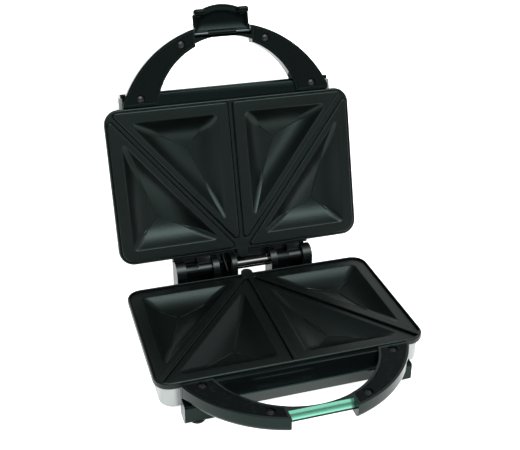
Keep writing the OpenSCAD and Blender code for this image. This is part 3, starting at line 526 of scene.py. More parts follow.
def cap(bm: bmesh.types.BMesh, edges: Sequence[bmesh.types.BMEdge]) -> list[bmesh.types.BMFace]:
    """One face over a closed loop of edges."""
    return bmesh.ops.contextual_create(bm, geom=list(edges))["faces"]


def fill(bm: bmesh.types.BMesh, *loops: Sequence[bmesh.types.BMEdge]) -> None:
    """Flat faces between an outer loop and the loops of its holes."""
    bmesh.ops.triangle_fill(bm, use_beauty=True, edges=[e for loop in loops for e in loop])


def corner_arc(before: Vector, at: Vector, after: Vector, radius: float, steps: int) -> list[Vector]:
    """Points of an arc that rounds one corner of an outline.

    Args:
        before: The corner before it.
        at: The corner that is rounded.
        after: The corner after it.
        radius: The arc's radius.
        steps: How many parts the arc has.

    Returns:
        The arc's points, from the side of the corner before.
    """
    u, v = (before - at).normalized(), (after - at).normalized()
    half = u.angle(v) / 2
    centre = at + (u + v).normalized() * radius / math.sin(half)
    start = at + u * radius / math.tan(half) - centre
    turn = math.pi - 2 * half
    if u.cross(v) > 0:
        turn = -turn
    return [centre + Matrix.Rotation(turn * i / steps, 2) @ start for i in range(steps + 1)]


def rounded(corners: Sequence[Point], radii: Sequence[float], steps: int = 8,
            parts: int = 1) -> list[Point]:
    """An outline with every corner rounded and every straight side cut in parts.

    Args:
        corners: The outline's corners, in order.
        radii: The radius at each corner.
        steps: How many parts each arc has.
        parts: How many parts each straight side has.

    Returns:
        The outline's points, in order.
    """
    flat = [Vector(c) for c in corners]
    arcs = [corner_arc(flat[i - 1], flat[i], flat[(i + 1) % len(flat)], radii[i], steps)
            for i in range(len(flat))]
    points: list[Point] = []
    for arc, after in zip(arcs, arcs[1:] + arcs[:1]):
        points += [tuple(p) for p in arc]
        points += [tuple(arc[-1].lerp(after[0], k / parts)) for k in range(1, parts)]
    return points


def rounded_rect(width: float, front: float, back: float, radius: float, inset: float = 0.0,
                 steps: int = 8, parts: int = 1) -> list[Point]:
    """A rectangle about x = 0 with rounded corners, moved inwards by an inset."""
    x, y0, y1 = width / 2 - inset, front + inset, back - inset
    return rounded([(-x, y0), (x, y0), (x, y1), (-x, y1)], [max(radius - inset, 0.4)] * 4, steps, parts)


def circle(x: float, y: float, radius: float, steps: int = 32) -> list[Point]:
    """Points of a circle."""
    return [(x + radius * math.cos(math.tau * i / steps), y + radius * math.sin(math.tau * i / steps))
            for i in range(steps)]


def arc(x: float, y: float, radius: float, start: float, end: float, steps: int) -> list[Point]:
    """Points of an arc between two angles in radians."""
    return [(x + radius * math.cos(start + (end - start) * i / steps),
             y + radius * math.sin(start + (end - start) * i / steps)) for i in range(steps + 1)]


def soften(bm: bmesh.types.BMesh, edges: Iterable[bmesh.types.BMEdge], width: float,
           segments: int = 3, clamp: bool = True) -> None:
    """Rounds edges to a width, which short edges beside them hold back where clamp is set."""
    bmesh.ops.bevel(bm, geom=list(edges), offset=width, offset_type="OFFSET", affect="EDGES",
                    segments=segments, profile=0.5, material=-1, clamp_overlap=clamp)


def rod(bm: bmesh.types.BMesh, start: Vector, end: Vector, radius: float, edge: float = 0.3,
        sides: int = 40) -> None:
    """A closed round rod between two points, with its end edges rounded."""
    along = end - start
    turn = Vector((0, 0, 1)).rotation_difference(along).to_matrix().to_4x4()
    made = bmesh.ops.create_cone(bm, cap_ends=True, segments=sides, radius1=radius, radius2=radius,
                                 depth=along.length,
                                 matrix=Matrix.Translation((start + end) / 2) @ turn)["verts"]
    ends = {e for v in made for e in v.link_edges if any(len(f.verts) > 4 for f in e.link_faces)}
    if edge:
        soften(bm, ends, edge, 3)


def brick(bm: bmesh.types.BMesh, low: Sequence[float], high: Sequence[float], edge: float = 0.4,
          segments: int = 3) -> None:
    """A closed box between two corners, with its edges rounded."""
    low, high = Vector(low), Vector(high)
    size = Matrix.Diagonal((*(high - low), 1.0))
    made = bmesh.ops.create_cube(bm, size=1.0, matrix=Matrix.Translation((low + high) / 2) @ size)
    if edge:
        soften(bm, {e for v in made["verts"] for e in v.link_edges}, edge, segments)


def join(bm: bmesh.types.BMesh, other: bmesh.types.BMesh) -> None:
    """Adds another mesh to a mesh, and frees the other one."""
    mesh = bpy.data.meshes.new("joined")
    other.to_mesh(mesh)
    other.free()
    bm.from_mesh(mesh)
    bpy.data.meshes.remove(mesh)


def turned(bm: bmesh.types.BMesh, profile: Sequence[Point], centre: Vector, steps: int = 36) -> None:
    """Spins a profile of distances and heights about an upright axis through a point."""
    verts = [bm.verts.new(centre + Vector((r, 0, z))) for r, z in profile]
    edges = [bm.edges.new(pair) for pair in zip(verts, verts[1:])]
    bmesh.ops.spin(bm, geom=verts + edges, cent=centre, axis=(0, 0, 1), angle=math.tau, steps=steps,
                   use_merge=True, dvec=(0, 0, 0))


@dataclass(frozen=True)
class Rounding:
    """Rounded edges that a live modifier gives a piece."""

    width: float
    angle: float = 32.0
    segments: int = 3


def finish_piece(bm: bmesh.types.BMesh, name: str, body: Body, finish: Finish | LensFinish,
                 replaced: Sequence[str] = (), rounding: Rounding | None = None,
                 sharp: float = 40.0, rides: bool = True) -> bpy.types.Object:
    """Turns a mesh in the frame of its body into a dressed piece that rides on that body.

    Args:
        bm: The mesh, in millimetres, in the frame of its body. It is freed.
        name: The piece's name.
        body: The CAD body that places it and that it rides on.
        finish: Its finish.
        replaced: The CAD nodes that it stands for.
        rounding: Rounded edges, or None.
        sharp: The angle in degrees over which an edge stays sharp.
        rides: False for a piece that bends between two bodies.

    Returns:
        The finished object.
    """
    bmesh.ops.remove_doubles(bm, verts=bm.verts, dist=0.001)
    bm.transform(body.matrix)
    bmesh.ops.recalc_face_normals(bm, faces=bm.faces)
    return dress(bm, name, body, finish, replaced, rounding, sharp, rides)


def dress(bm: bmesh.types.BMesh, name: str, body: Body, finish: Finish | LensFinish,
          replaced: Sequence[str] = (), rounding: Rounding | None = None,
          sharp: float = 40.0, rides: bool = True) -> bpy.types.Object:
    """Makes an object of a mesh that lies in the row frame, in metres.

    Returns:
        The finished object.
    """
    mesh = bpy.data.meshes.new(name)
    bm.to_mesh(mesh)
    bm.free()
    for face in mesh.polygons:
        face.use_smooth = True
    mesh.set_sharp_from_angle(angle=math.radians(sharp))
    mesh.materials.append(finish.material())
    piece = bpy.data.objects.new(name, mesh)
    bpy.context.scene.collection.objects.link(piece)
    if rounding:
        bevel = piece.modifiers.new("rounded edges", "BEVEL")
        bevel.width, bevel.segments = rounding.width * MM, rounding.segments
        bevel.limit_method, bevel.angle_limit = "ANGLE", math.radians(rounding.angle)
        bevel.miter_outer = "MITER_ARC"
        bevel.harden_normals = True
    else:
        weighted = piece.modifiers.new("even shading", "WEIGHTED_NORMAL")
        weighted.keep_sharp = True
    if rides:
        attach(piece, body.value)
    if replaced:
        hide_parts(*replaced)
    log.info("%s: %d faces on %s", name, len(mesh.polygons), body.value)
    return piece


def recast(node: str, body: Body, finish: Finish | LensFinish, rounding: Rounding,
           flatten: float = 1.0) -> bpy.types.Object:
    """A CAD node's merged copy with rounded edges, which stands for the node.

    Args:
        node: The node's name.
        body: The CAD body that it rides on.
        finish: The finish.
        rounding: The rounded edges.
        flatten: Faces within this angle in degrees become one.

    Returns:
        The finished object.
    """
    bm = bmesh.new()
    bm.from_mesh(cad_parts[node].data)
    bmesh.ops.remove_doubles(bm, verts=bm.verts, dist=0.002 * MM)
    bmesh.ops.dissolve_limit(bm, angle_limit=math.radians(flatten), verts=bm.verts, edges=bm.edges)
    return dress(bm, node + "_dressed", body, finish, (node,), rounding)


# Cooking plates


@dataclass
class CookingPlate:
    """A cast, coated plate with four triangular pockets. The upper one's panels are raised."""

    body: Body
    edge: float = 2.0
    rib: float = 3.5
    level: float = -2.2
    border: float = 10.0
    diagonal: float = 5.5
    depth: float = 9.6
    cast: float = 2.2
    rim_depth: float = 7.0
    tongue_w: float = 11.0
    tongue_l: float = 8.0
    diagonal_top: float = 2.0
    lip: float = 0.035
    slope: float = 0.1
    bowl: float = 3.2
    mouth_r: float = 4.2
    fold_r: float = 4.5
    crease: float = 0.7
    bead: float = 0.5
    mark_w: float = 0.6
    mark_h: float = 0.8
    rings: int = 32

    def __post_init__(self) -> None:
        """Gives the upper plate its raised panels, which nest in the lower plate's recesses."""
        if self.body is Body.LID:
            self.edge, self.rib, self.level, self.bead = 2.75, 5.0, 1.2, 1.25
        self.front_middle = Vector((-0.18 * LAYOUT.plate_w, 0.282 * LAYOUT.plate_d))
        self.rear_middle = Vector((-0.325 * LAYOUT.plate_w, 0.72 * LAYOUT.plate_d))

    def _diagonal(self, shift: float) -> tuple[Vector, Vector]:
        """A line beside the left diagonal rib, as a point and its direction."""
        foot = Vector((-(LAYOUT.plate_w / 2 - self.edge), self.edge))
        top = Vector((-self.diagonal_top, LAYOUT.plate_d - self.edge))
        along = (top - foot).normalized()
        return foot + Vector((along.y, -along.x)) * shift, along

    def corners(self, front: bool, inner: float, diagonal: float) -> list[Point]:
        """The corners of a left panel, or of what lies within it.

        Args:
            front: The panel at the handle, rather than the one at the side.
            inner: The distance from the edge and the middle rib to the outline.
            diagonal: The distance from the diagonal rib.

        Returns:
            The three corners.
        """
        side = 1 if front else -1
        at, along = self._diagonal(side * (self.rib / 2 + diagonal))
        low, high = self.edge + inner, LAYOUT.plate_d - self.edge - inner
        on_y = lambda y: (at.x + (y - at.y) * along.x / along.y, y)
        on_x = lambda x: (x, at.y + (x - at.x) * along.y / along.x)
        if front:
            middle = -self.rib / 2 - inner
            return [on_y(low), (middle, low), on_x(middle)]
        out = -(LAYOUT.plate_w / 2 - self.edge - inner)
        return [on_x(out), on_y(high), (out, high)]

    def _wall(self) -> list[Point]:
        """The rounded step between the ribs and a panel, as distances inwards and heights."""
        low, high = sorted((-LAYOUT.close_gap, self.level))
        edge = [(-a * self.bead, high - b * self.bead)
                for a, b in ((1.1, 0), (0.75, 0.05), (0.42, 0.2), (0.12, 0.48), (0.0, 1.0))]
        gutter = [(0.05, low - 0.7), (0.25, low - 0.95), (0.5, low - 0.95), (0.75, low - 0.7),
                  (1.0, low - 0.15), (1.3, low)]
        step = edge + gutter
        if self.body is Body.BASE:
            return step
        return [(-a, z) for a, z in reversed(step)]

    def _depth(self, u: float) -> float:
        """The share of a pocket's depth at a share of the way from its lip to its middle."""
        v = (1 + self.lip) * u * u / (u + self.lip)
        return self.slope * v + (1 - self.slope) * (1 - (1 - v) ** self.bowl)

    def _fold(self, u: float) -> tuple[float, float]:
        """The rounding of a pocket's corners, and the height of the thin mark along its folds.

        Args:
            u: The share of the way from the lip to the middle.

        Returns:
            The radius and the height, in millimetres.
        """
        t = min(u / self.crease, 1.0)
        ease = t * t * (3 - 2 * t)
        radius = (self.mouth_r + self.fold_r * math.sin(math.pi * t)) * (1 - ease) + self.mark_w * ease
        return radius * min(1.0, 3 * (1 - u)), self.mark_h * max(0.0, 2.5 * ease - 1.5)

    def _pocket_rings(self, front: bool, side: int, drop: float = 0.0, grow: float = 1.0,
                      parts: int = 9) -> list[list[Vector]]:
        """Rings of a pocket, from its lip to near its deepest point.

        Corners are widely rounded on the soft wall and sharpen to ridges at the middle.

        Args:
            front: The pocket at the handle, rather than the one at the side.
            side: 1 for the left pocket, -1 for the right one.
            drop: How far the whole surface is lowered.
            grow: How much larger the outline is.
            parts: How many parts each straight side has.

        Returns:
            One list of points for each ring.
        """
        middle = self.front_middle if front else self.rear_middle
        corners = [Vector(c) for c in self.corners(front, self.border, self.diagonal)]
        narrow = []
        for before, at, after in zip(corners[-1:] + corners[:-1], corners, corners[1:] + corners[:1]):
            narrow.append(min(1.0, 1.3 * math.tan((before - at).angle(after - at) / 2)))
        depth = self.depth + (self.level + LAYOUT.close_gap + 2.0)
        rings = []
        for i in range(self.rings):
            u = (i / self.rings) ** 1.2
            size = (1 - u) * grow
            radius, mark = self._fold(u)
            ring = rounded([middle + (c - middle) * size for c in corners],
                           [radius * share for share in narrow], 8, parts)
            z = self.level - drop - depth * self._depth(u)
            raised = [mark * math.sin(math.pi * k / 8) ** 2 if k < 9 else 0.0
                      for k in range(8 + parts)] * 3
            rings.append([Vector((side * x, y, z + h)) for (x, y), h in zip(ring, raised)])
        return rings

    def _panels(self, bm: bmesh.types.BMesh, side: int) -> list[list[bmesh.types.BMEdge]]:
        """The panels and pockets of one side, seen from above.

        Returns:
            The loops of edges where the panels meet the ribs' faces.
        """
        loops = []
        for front in (True, False):
            radii = (2.5, 2.5, 2.5) if front else (2.5, 2.5, 11.0)
            rings = []
            for inner, z in self._wall():
                grown = [max(r - inner, 0.8) for r in radii]
                edge = rounded(self.corners(front, inner, inner), grown, 7, 4)
                rings.append([Vector((side * x, y, z)) for x, y in edge])
            first = outline(bm, [(v.x, v.y) for v in rings[0]], rings[0][0].z)
            loops.append(first)
            pocket = self._pocket_rings(front, side)
            mouth = outline(bm, [(v.x, v.y) for v in pocket[0]], self.level)
            fill(bm, skin(bm, first, rings[1:]), mouth)
            cap(bm, skin(bm, mouth, pocket[1:]))
        return loops

    def _pans(self, bm: bmesh.types.BMesh) -> None:
        """The underside: a flat sheet inside the rim, with the backs of the pockets."""
        under = -LAYOUT.close_gap - 2.0 - self.cast
        inner = rounded_rect(LAYOUT.plate_w, 0, LAYOUT.plate_d, LAYOUT.plate_r, self.rim_depth)
        loops = [outline(bm, inner, under)]
        self._rim_low = skin(bm, loops[0], [lift(inner, -LAYOUT.rim_z)])
        for side in (1, -1):
            for front in (True, False):
                grown = self._pocket_rings(front, side, self.cast, 1.085, 4)
                start = next(i for i, ring in enumerate(grown) if ring[0].z < under)
                mouth = outline(bm, [(p.x, p.y) for p in grown[max(start - 1, 0)]], under)
                loops.append(mouth)
                cap(bm, skin(bm, mouth, grown[start::2]))
        fill(bm, *loops)

    def build(self) -> bpy.types.Object:
        """Models the plate as one closed casting.

        Returns:
            The finished plate.
        """
        bm = bmesh.new()
        size = (LAYOUT.plate_w, 0, LAYOUT.plate_d, LAYOUT.plate_r)
        self._pans(bm)
        rim = [(1.0, -LAYOUT.rim_z), (0.3, -LAYOUT.rim_z + 0.2), (0.0, -LAYOUT.rim_z + 0.8),
               (0.0, -1.9), (0.12, -1.2), (0.5, -0.55), (1.0, -0.26), (1.4, -LAYOUT.close_gap)]
        low = outline(bm, rounded_rect(*size, rim[0][0]), rim[0][1])
        fill(bm, self._rim_low, low)
        top = skin(bm, low, [lift(rounded_rect(*size, inset), z) for inset, z in rim[1:]])
        loops = self._panels(bm, 1) + self._panels(bm, -1)
        fill(bm, top, *loops)
        self._tongue(bm)
        return finish_piece(bm, f"cooking_plate_{self.body.word}", self.body, NONSTICK,
                            (f"{self.body.value}_plate",), sharp=60)

    def _tongue(self, bm: bmesh.types.BMesh) -> None:
        """The rounded tongue at the hinge side, and the bosses of the plate's screws."""
        r, tip = self.tongue_w / 2, LAYOUT.plate_d + self.tongue_l - self.tongue_w / 2
        low, high = -LAYOUT.close_gap - 2.0 - self.cast, -LAYOUT.close_gap
        shape = lambda d: ([(r - d, LAYOUT.plate_d - 1.6)] + arc(0, tip, r - d, 0, math.pi, 16)
                           + [(-r + d, LAYOUT.plate_d - 1.6)])
        edges = outline(bm, shape(0.5), low)
        cap(bm, edges)
        steps = [(0, low + 0.5), (0, high - 0.8), (0.25, high - 0.3), (0.8, high)]
        cap(bm, skin(bm, edges, [lift(shape(d), z) for d, z in steps]))
        for x, y in ((0.0, 0.36), (-0.22, 0.53), (0.22, 0.53)):
            at = Vector((x * LAYOUT.plate_w, y * LAYOUT.plate_d, 0))
            rod(bm, at + Vector((0, 0, -24.5)), at + Vector((0, 0, low - 1)), 4.0, 0.4, 24)


# Handles


@dataclass
class Handle:
    """A glossy handle shell with its two grip plates, their screws and the bar of its notch."""

    body: Body
    gap_r: float = 74.0
    outer_r: float = 107.0
    centre_y: float = 38.0
    gap_reach: float = 55.0
    outer_round: float = 5.0
    inner_round: float = 2.2
    edge: float = 2.5
    grip_gap: float = 0.25
    grip_t: float = 3.0
    sink: float = 1.8
    sink_r: float = 4.2
    head_r: float = 3.0
    slot_half: float = 0.42
    bar_front: float = -56.7
    bar_h: float = 11.0
    bar_in: float = 2.6
    ledge_y: float = -61.4
    ledge_drop: float = 3.8
    catch_h: float = 9.0

    def __post_init__(self) -> None:
        """Gives the upper handle its smaller finger gap."""
        if self.body is Body.LID:
            self.gap_r = 68.5
        self.gap_y = self.gap_r - self.gap_reach
        self.screws = ((LAYOUT.root_x - 16, -7.0), (40.0, -self.gap_reach + 2.7))

    def arm(self, side: int, inset: float = 0.0) -> list[Point]:
        """The outline of one arm, seen from the grip face.

        Args:
            side: 1 for the right arm, -1 for the left.
            inset: The distance inwards from the arm's own outline.

        Returns:
            The outline's points.
        """
        outer, inner = self.outer_r - inset, self.gap_r + inset
        notch, root, back = LAYOUT.notch_x + inset, LAYOUT.root_x - inset, LAYOUT.root_y - inset
        start = math.acos(notch / outer)
        end = math.acos(root / outer)
        points = arc(0, self.centre_y, outer, -start, -end, 44)
        points.append((root, back))
        low = math.asin((back - self.gap_y) / inner)
        high = math.acos(notch / inner)
        points += arc(0, self.gap_y, inner, low, -high, 36)
        return [(side * x, y) for x, y in points]

    def _arms(self, bm: bmesh.types.BMesh) -> None:
        """Both arms, with rounded undersides and a recess for each grip plate."""
        top, bottom = -LAYOUT.grip_face, -LAYOUT.handle_z
        for side in (1, -1):
            before = set(bm.edges)
            shape = self.arm(side)
            low = outline(bm, shape, bottom)
            cap(bm, low)
            high = skin(bm, low, [lift(shape, top)])
            wall = self.arm(side, self.edge - self.grip_gap)
            floor = top - self.grip_t - 0.4
            rim = outline(bm, wall, top)
            fill(bm, high, rim)
            cap(bm, skin(bm, rim, [lift(wall, floor)]))
            under = [e for e in low if self._radius(e) > self.outer_r - 0.5]
            inner = [e for e in low if abs(self._gap_radius(e) - self.gap_r) < 0.5]
            soften(bm, under, self.outer_round, 8, clamp=False)
            soften(bm, [e for e in inner if e.is_valid], self.inner_round, 4, clamp=False)
            sharp = [e for e in set(bm.edges) - before if e.is_valid and len(e.link_faces) == 2
                     and e.calc_face_angle(0) > math.radians(50)]
            soften(bm, sharp, 0.45, 3)

    def _radius(self, edge: bmesh.types.BMEdge) -> float:
        """The distance of an edge's middle from the centre of the handle's outer side."""
        middle = (edge.verts[0].co + edge.verts[1].co) / 2
        return math.hypot(middle.x, middle.y - self.centre_y)

    def _gap_radius(self, edge: bmesh.types.BMEdge) -> float:
        """The distance of an edge's middle from the centre of the finger gap."""
        middle = (edge.verts[0].co + edge.verts[1].co) / 2
        return math.hypot(middle.x, middle.y - self.gap_y)

    def _hollow(self, t: float) -> Point:
        """A point of the lower bar's hollow front, as Y and Z, from its top edge at 0 to 1."""
        return -56.0 - 3.2 * t + 3.0 * t * (1 - t), -LAYOUT.grip_face - (self.catch_h - 1.7) * t

    def _bar(self, bm: bmesh.types.BMesh) -> None:
        """The bar between the arms. The lower one has a hollow front over a lip."""
        x = LAYOUT.notch_x + 0.3
        top = -LAYOUT.grip_face
        if self.body is Body.BASE:
            low = top - self.catch_h
            front = []
            for i in range(13):
                t = i / 12
                front.append(self._hollow(t))
            front += [(-59.6, low + 1.6), (-59.8, low + 1.0), (-59.6, low + 0.3), (-59.2, low)]
        else:
            low = top - self.bar_h
            ledge = -LAYOUT.latch_z - self.ledge_drop
            front = [(self.bar_front, top), (self.bar_front, ledge + 0.8), (self.bar_front - 0.8, ledge),
                     (self.ledge_y, ledge), (self.ledge_y, low)]
        reach = self.gap_r + (self.bar_in if self.body is Body.LID else 0.0)
        back = lambda px: self.gap_y - math.sqrt(reach ** 2 - px ** 2)
        steps = 20
        rings = []
        for i in range(steps + 1):
            px = -x + 2 * x * i / steps
            rings.append([Vector((px, y, z)) for y, z in front]
                         + [Vector((px, back(px), low)), Vector((px, back(px), top))])
        verts = [bm.verts.new(v) for v in rings[0]]
        edges = [bm.edges.new((a, b)) for a, b in zip(verts, verts[1:] + verts[:1])]
        cap(bm, edges)
        cap(bm, skin(bm, edges, rings[1:]))
        sharp = [e for e in bm.edges if all(abs(v.co.x) < x + 0.01 for v in e.verts)
                 and len(e.link_faces) == 2 and e.calc_face_angle(0) > math.radians(60)
                 and abs(e.verts[0].co.x - e.verts[1].co.x) > 1]
        soften(bm, sharp, 0.5, 3)

    def _reflection_band(self) -> bpy.types.Object:
        """A teal strip in the hollow front of the lower bar. It is a painted reflection: its green metallic
        colour stands for light on the glossy black hollow.

        Returns:
            The finished strip.
        """
        bm = bmesh.new()
        x, t = LAYOUT.notch_x - 0.1, 0.18
        face = []
        for i in range(17):
            face.append(self._hollow(0.05 + 0.93 * i / 16))
        shape = [(y - t, z + t * 0.5) for y, z in face] + [(y + t, z - t * 0.5) for y, z in reversed(face)]
        rings = [[Vector((-x + 2 * x * i / 12, y, z)) for y, z in shape] for i in range(13)]
        verts = [bm.verts.new(v) for v in rings[0]]
        edges = [bm.edges.new((a, b)) for a, b in zip(verts, verts[1:] + verts[:1])]
        cap(bm, edges)
        cap(bm, skin(bm, edges, rings[1:]))
        return finish_piece(bm, "catch_band_painted_reflection", self.body, PAINTED_REFLECTION, sharp=50)

    def _grip(self, side: int) -> bpy.types.Object:
        """One matt grip plate with its two sunk screw holes.

        Returns:
            The finished plate.
        """
        bm = bmesh.new()
        top = -LAYOUT.grip_face
        inset = self.edge
        rim = outline(bm, self.arm(side, inset + 0.35), top)
        holes = [outline(bm, circle(side * x, y, self.sink_r + 0.3, 28), top) for x, y in self.screws]
        fill(bm, rim, *holes)
        for hole, (x, y) in zip(holes, self.screws):
            rings = [lift(circle(side * x, y, r, 28), z) for r, z in
                     ((self.sink_r + 0.08, top - 0.08), (self.sink_r, top - 0.3),
                      (self.sink_r, top - self.sink + 0.3), (self.sink_r - 0.3, top - self.sink))]
            cap(bm, skin(bm, hole, rings))
        shapes = [(0.1, top - 0.1), (0.0, top - 0.4), (0.0, top - self.grip_t)]
        cap(bm, skin(bm, rim, [lift(self.arm(side, inset + d), z) for d, z in shapes]))
        word = "right" if side > 0 else "left"
        return finish_piece(bm, f"grip_plate_{self.body.word}_{word}", self.body, GRIP_BLACK,
                            (f"{self.body.value}_grip_{word}",), sharp=60)

    def _cross(self, bm: bmesh.types.BMesh, x: float, y: float) -> None:
        """One domed screw head with a cross recess."""
        floor = -LAYOUT.grip_face - self.sink
        a, b = self.slot_half, self.head_r * 0.58
        cross = [(a, b), (-a, b), (-a, a), (-b, a), (-b, -a), (-a, -a), (-a, -b), (a, -b), (a, -a),
                 (b, -a), (b, a), (a, a)]
        turn = Matrix.Rotation(math.radians(7 * x + 3 * y), 2)
        slot = [tuple(Vector((x, y)) + turn @ Vector(p)) for p in cross]
        dome = lambda p, drop=0.0: floor + 1.45 - 0.09 * (Vector(p) - Vector((x, y))).length_squared - drop
        mouth = outline(bm, slot, 0)
        for vert in loop_verts(mouth):
            vert.co.z = dome(vert.co.xy)
        cap(bm, skin(bm, mouth, [[Vector((*p, dome(p, 0.8))) for p in slot]]))
        around = [circle(x, y, r, 24) for r in (self.head_r * 0.66, self.head_r * 0.86, self.head_r)]
        ring = outline(bm, around[0], 0)
        for vert in loop_verts(ring):
            vert.co.z = dome(vert.co.xy)
        fill(bm, ring, mouth)
        rings = [[Vector((*p, dome(p))) for p in points] for points in around[1:]]
        rings.append([Vector((*p, floor)) for p in around[-1]])
        cap(bm, skin(bm, ring, rings))

    def _screws(self) -> bpy.types.Object:
        """The four screws of the grip plates.

        Returns:
            The finished screws.
        """
        bm = bmesh.new()
        for side in (1, -1):
            for x, y in self.screws:
                self._cross(bm, side * x, y)
                rod(bm, Vector((side * x, y, -LAYOUT.grip_face - self.sink - 7.8)),
                    Vector((side * x, y, -LAYOUT.grip_face - self.sink + 0.1)), 1.5, 0.2, 20)
        return finish_piece(bm, f"grip_screws_{self.body.word}", self.body, DARK_SCREW,
                            (f"{self.body.value}_grip_screws",), sharp=35)

    def build(self) -> list[bpy.types.Object]:
        """Models the handle and all that is on it.

        Returns:
            The finished pieces.
        """
        bm = bmesh.new()
        self._arms(bm)
        bar = bmesh.new()
        self._bar(bar)
        join(bm, bar)
        shell = finish_piece(bm, f"handle_{self.body.word}", self.body, GLOSS_BLACK,
                             (f"{self.body.value}_handle",), sharp=50)
        pieces = [shell, self._grip(1), self._grip(-1), self._screws()]
        # The lower handle also gets the strip of painted reflection in its hollow.
        return pieces + ([self._reflection_band()] if self.body is Body.BASE else [])


# Shells, front blocks and the parts under and inside them


@dataclass
class Shells:
    """The silver shells of both halves, with their front blocks, cover, feet and lenses."""

    thickness: float = 1.6
    bottom_round: float = 3.0
    hood_x: float = 101.5
    hood_y: float = -13.0
    bezel_y: float = -9.2
    bezel_in: float = 1.9
    hood_end: float = 24.0
    hood_side: float = 26.2
    hood_top: float = 33.9
    hood_in: float = 4.0
    hood_back: float = 5.0
    foot_h: float = 3.0
    foot_r: float = 7.0
    feet: tuple[tuple[str, float, float], ...] = (
        ("front_left", -86.0, -5.0), ("front_right", 86.0, -5.0),
        ("rear_left", -58.0, 156.0), ("rear_right", 58.0, 156.0))
    front_moves: tuple[tuple[Point, Point], ...] = (
        ((-8.5, -14.934), (-8.9, -16.6)), ((-10.0, -24.89), (-9.9, -17.3)),
        ((-8.0, -30.13), (-5.6, -30.13)), ((-7.5, -26.2), (-4.6, -26.2)))

    def _ring(self, inset: float, z: float) -> list[Vector]:
        """The shells' outline moved inwards, at one height."""
        return lift(rounded_rect(LAYOUT.shell_w, LAYOUT.shell_front, LAYOUT.shell_back,
                                 LAYOUT.shell_r, inset, 10, 6), z)

    def _tub(self, profile: Sequence[Point]) -> bmesh.types.BMesh:
        """A walled shell by its outer profile, from the rim to the middle of its closed side.

        Args:
            profile: Distances inwards and heights.

        Returns:
            The closed mesh.
        """
        bm = bmesh.new()
        t = self.thickness
        start = self._ring(*profile[0])
        rim = outline(bm, [(v.x, v.y) for v in start], start[0].z)
        cap(bm, skin(bm, rim, [self._ring(*p) for p in profile[1:]]))
        inside = [self._ring(d + t, z) for d, z in profile if abs(z) < abs(profile[-1][1]) - t]
        cap(bm, skin(bm, rim, inside + [self._ring(profile[-1][0], profile[-1][1] + t)]))
        return bm

    def base_shell(self) -> bpy.types.Object:
        """The lower shell, a silver band with a rounded bottom edge.

        Returns:
            The finished shell.
        """
        r, low = self.bottom_round, -LAYOUT.base_floor
        turn = [(r * (1 - math.cos(a)), low + r * (1 - math.sin(a)))
                for a in (math.pi / 2 * i / 8 for i in range(9))]
        bm = self._tub([(0, -LAYOUT.rim_z + 0.6), (0, -10), (0, -16)] + turn + [(14, low)])
        return finish_piece(bm, "shell_lower", Body.BASE, SILVER, ("base_shell",),
                            sharp=50)

    def _hood(self, bm: bmesh.types.BMesh, start: float, end: float, inset: float = 0.0) -> None:
        """Adds a stretch of the hood, whose top stands back from its sides.

        Args:
            bm: The mesh to add to.
            start: The front of its sides, in Y.
            end: Its end, in Y.
            inset: How far its sides stand inside the shell's hood.
        """
        hood = bmesh.new()
        x, side, top = self.hood_x - inset, -self.hood_side, -self.hood_top + inset / 3
        t, w = self.thickness, x - LAYOUT.root_x - 0.2
        low = -LAYOUT.rim_z - 0.3
        outer = [(-x, low), (-x, side), (-x + self.hood_in, top), (x - self.hood_in, top), (x, side),
                 (x, low)]
        inner = [(x - w, low), (x - w, side + t), (x - self.hood_in - w, top + t),
                 (-x + self.hood_in + w, top + t), (-x + w, side + t), (-x + w, low)]
        shape = outer + inner
        back = lambda z: self.hood_back * max(0.0, (abs(z) - self.hood_side) / (self.hood_top - self.hood_side))
        lean = back if end < 0 else lambda z: 0.0
        verts = [hood.verts.new((px, start + back(z), z)) for px, z in shape]
        edges = [hood.edges.new((a, b)) for a, b in zip(verts, verts[1:] + verts[:1])]
        cap(hood, edges)
        cap(hood, skin(hood, edges, [[Vector((px, end + lean(z), z)) for px, z in shape]]))
        hood.verts.ensure_lookup_table()
        ridge = {e for i in (1, 2, 3, 4) for e in hood.verts[i].link_edges
                 if all(v.co.z < side + 0.1 for v in e.verts)
                 and not {v.index for v in e.verts} & set(range(6, 12))
                 and any(v.co.y < 5 for v in e.verts)}
        soften(hood, [e for e in ridge if end > 0 or abs(e.verts[0].co.y - e.verts[1].co.y) > 2], 3.4, 6)
        sharp = [e for e in hood.edges if len(e.link_faces) == 2 and e.calc_face_angle(0) > 0.7
                 and any(v.co.y < 5 for v in e.verts)]
        soften(hood, sharp, 0.4, 2)
        join(bm, hood)

    def bezel(self) -> bpy.types.Object:
        """The glossy frame in front of the upper shell's hood.

        Returns:
            The finished frame.
        """
        bm = bmesh.new()
        self._hood(bm, self.hood_y, self.bezel_y, self.bezel_in)
        return finish_piece(bm, "hood_bezel", Body.LID, GLOSS_BLACK, sharp=50)

    def lid_shell(self) -> bpy.types.Object:
        """The upper shell, a silver dome with a hood over the front block.

        Returns:
            The finished shell.
        """
        dome = [(0, -LAYOUT.rim_z + 0.6), (0, -12), (0, -18), (0, -23), (0.15, -26.2), (0.7, -28.6),
                (1.7, -31), (3.4, -33.6), (6, -35.9), (9.5, -37.7), (14, -39), (19, -39.7),
                (25, -40), (36, -40.15), (50, -40.2)]
        bm = self._tub(dome)
        self._hood(bm, self.bezel_y + 0.1, self.hood_end)
        return finish_piece(bm, "shell_upper", Body.LID, SILVER, ("lid_shell",),
                            sharp=50)

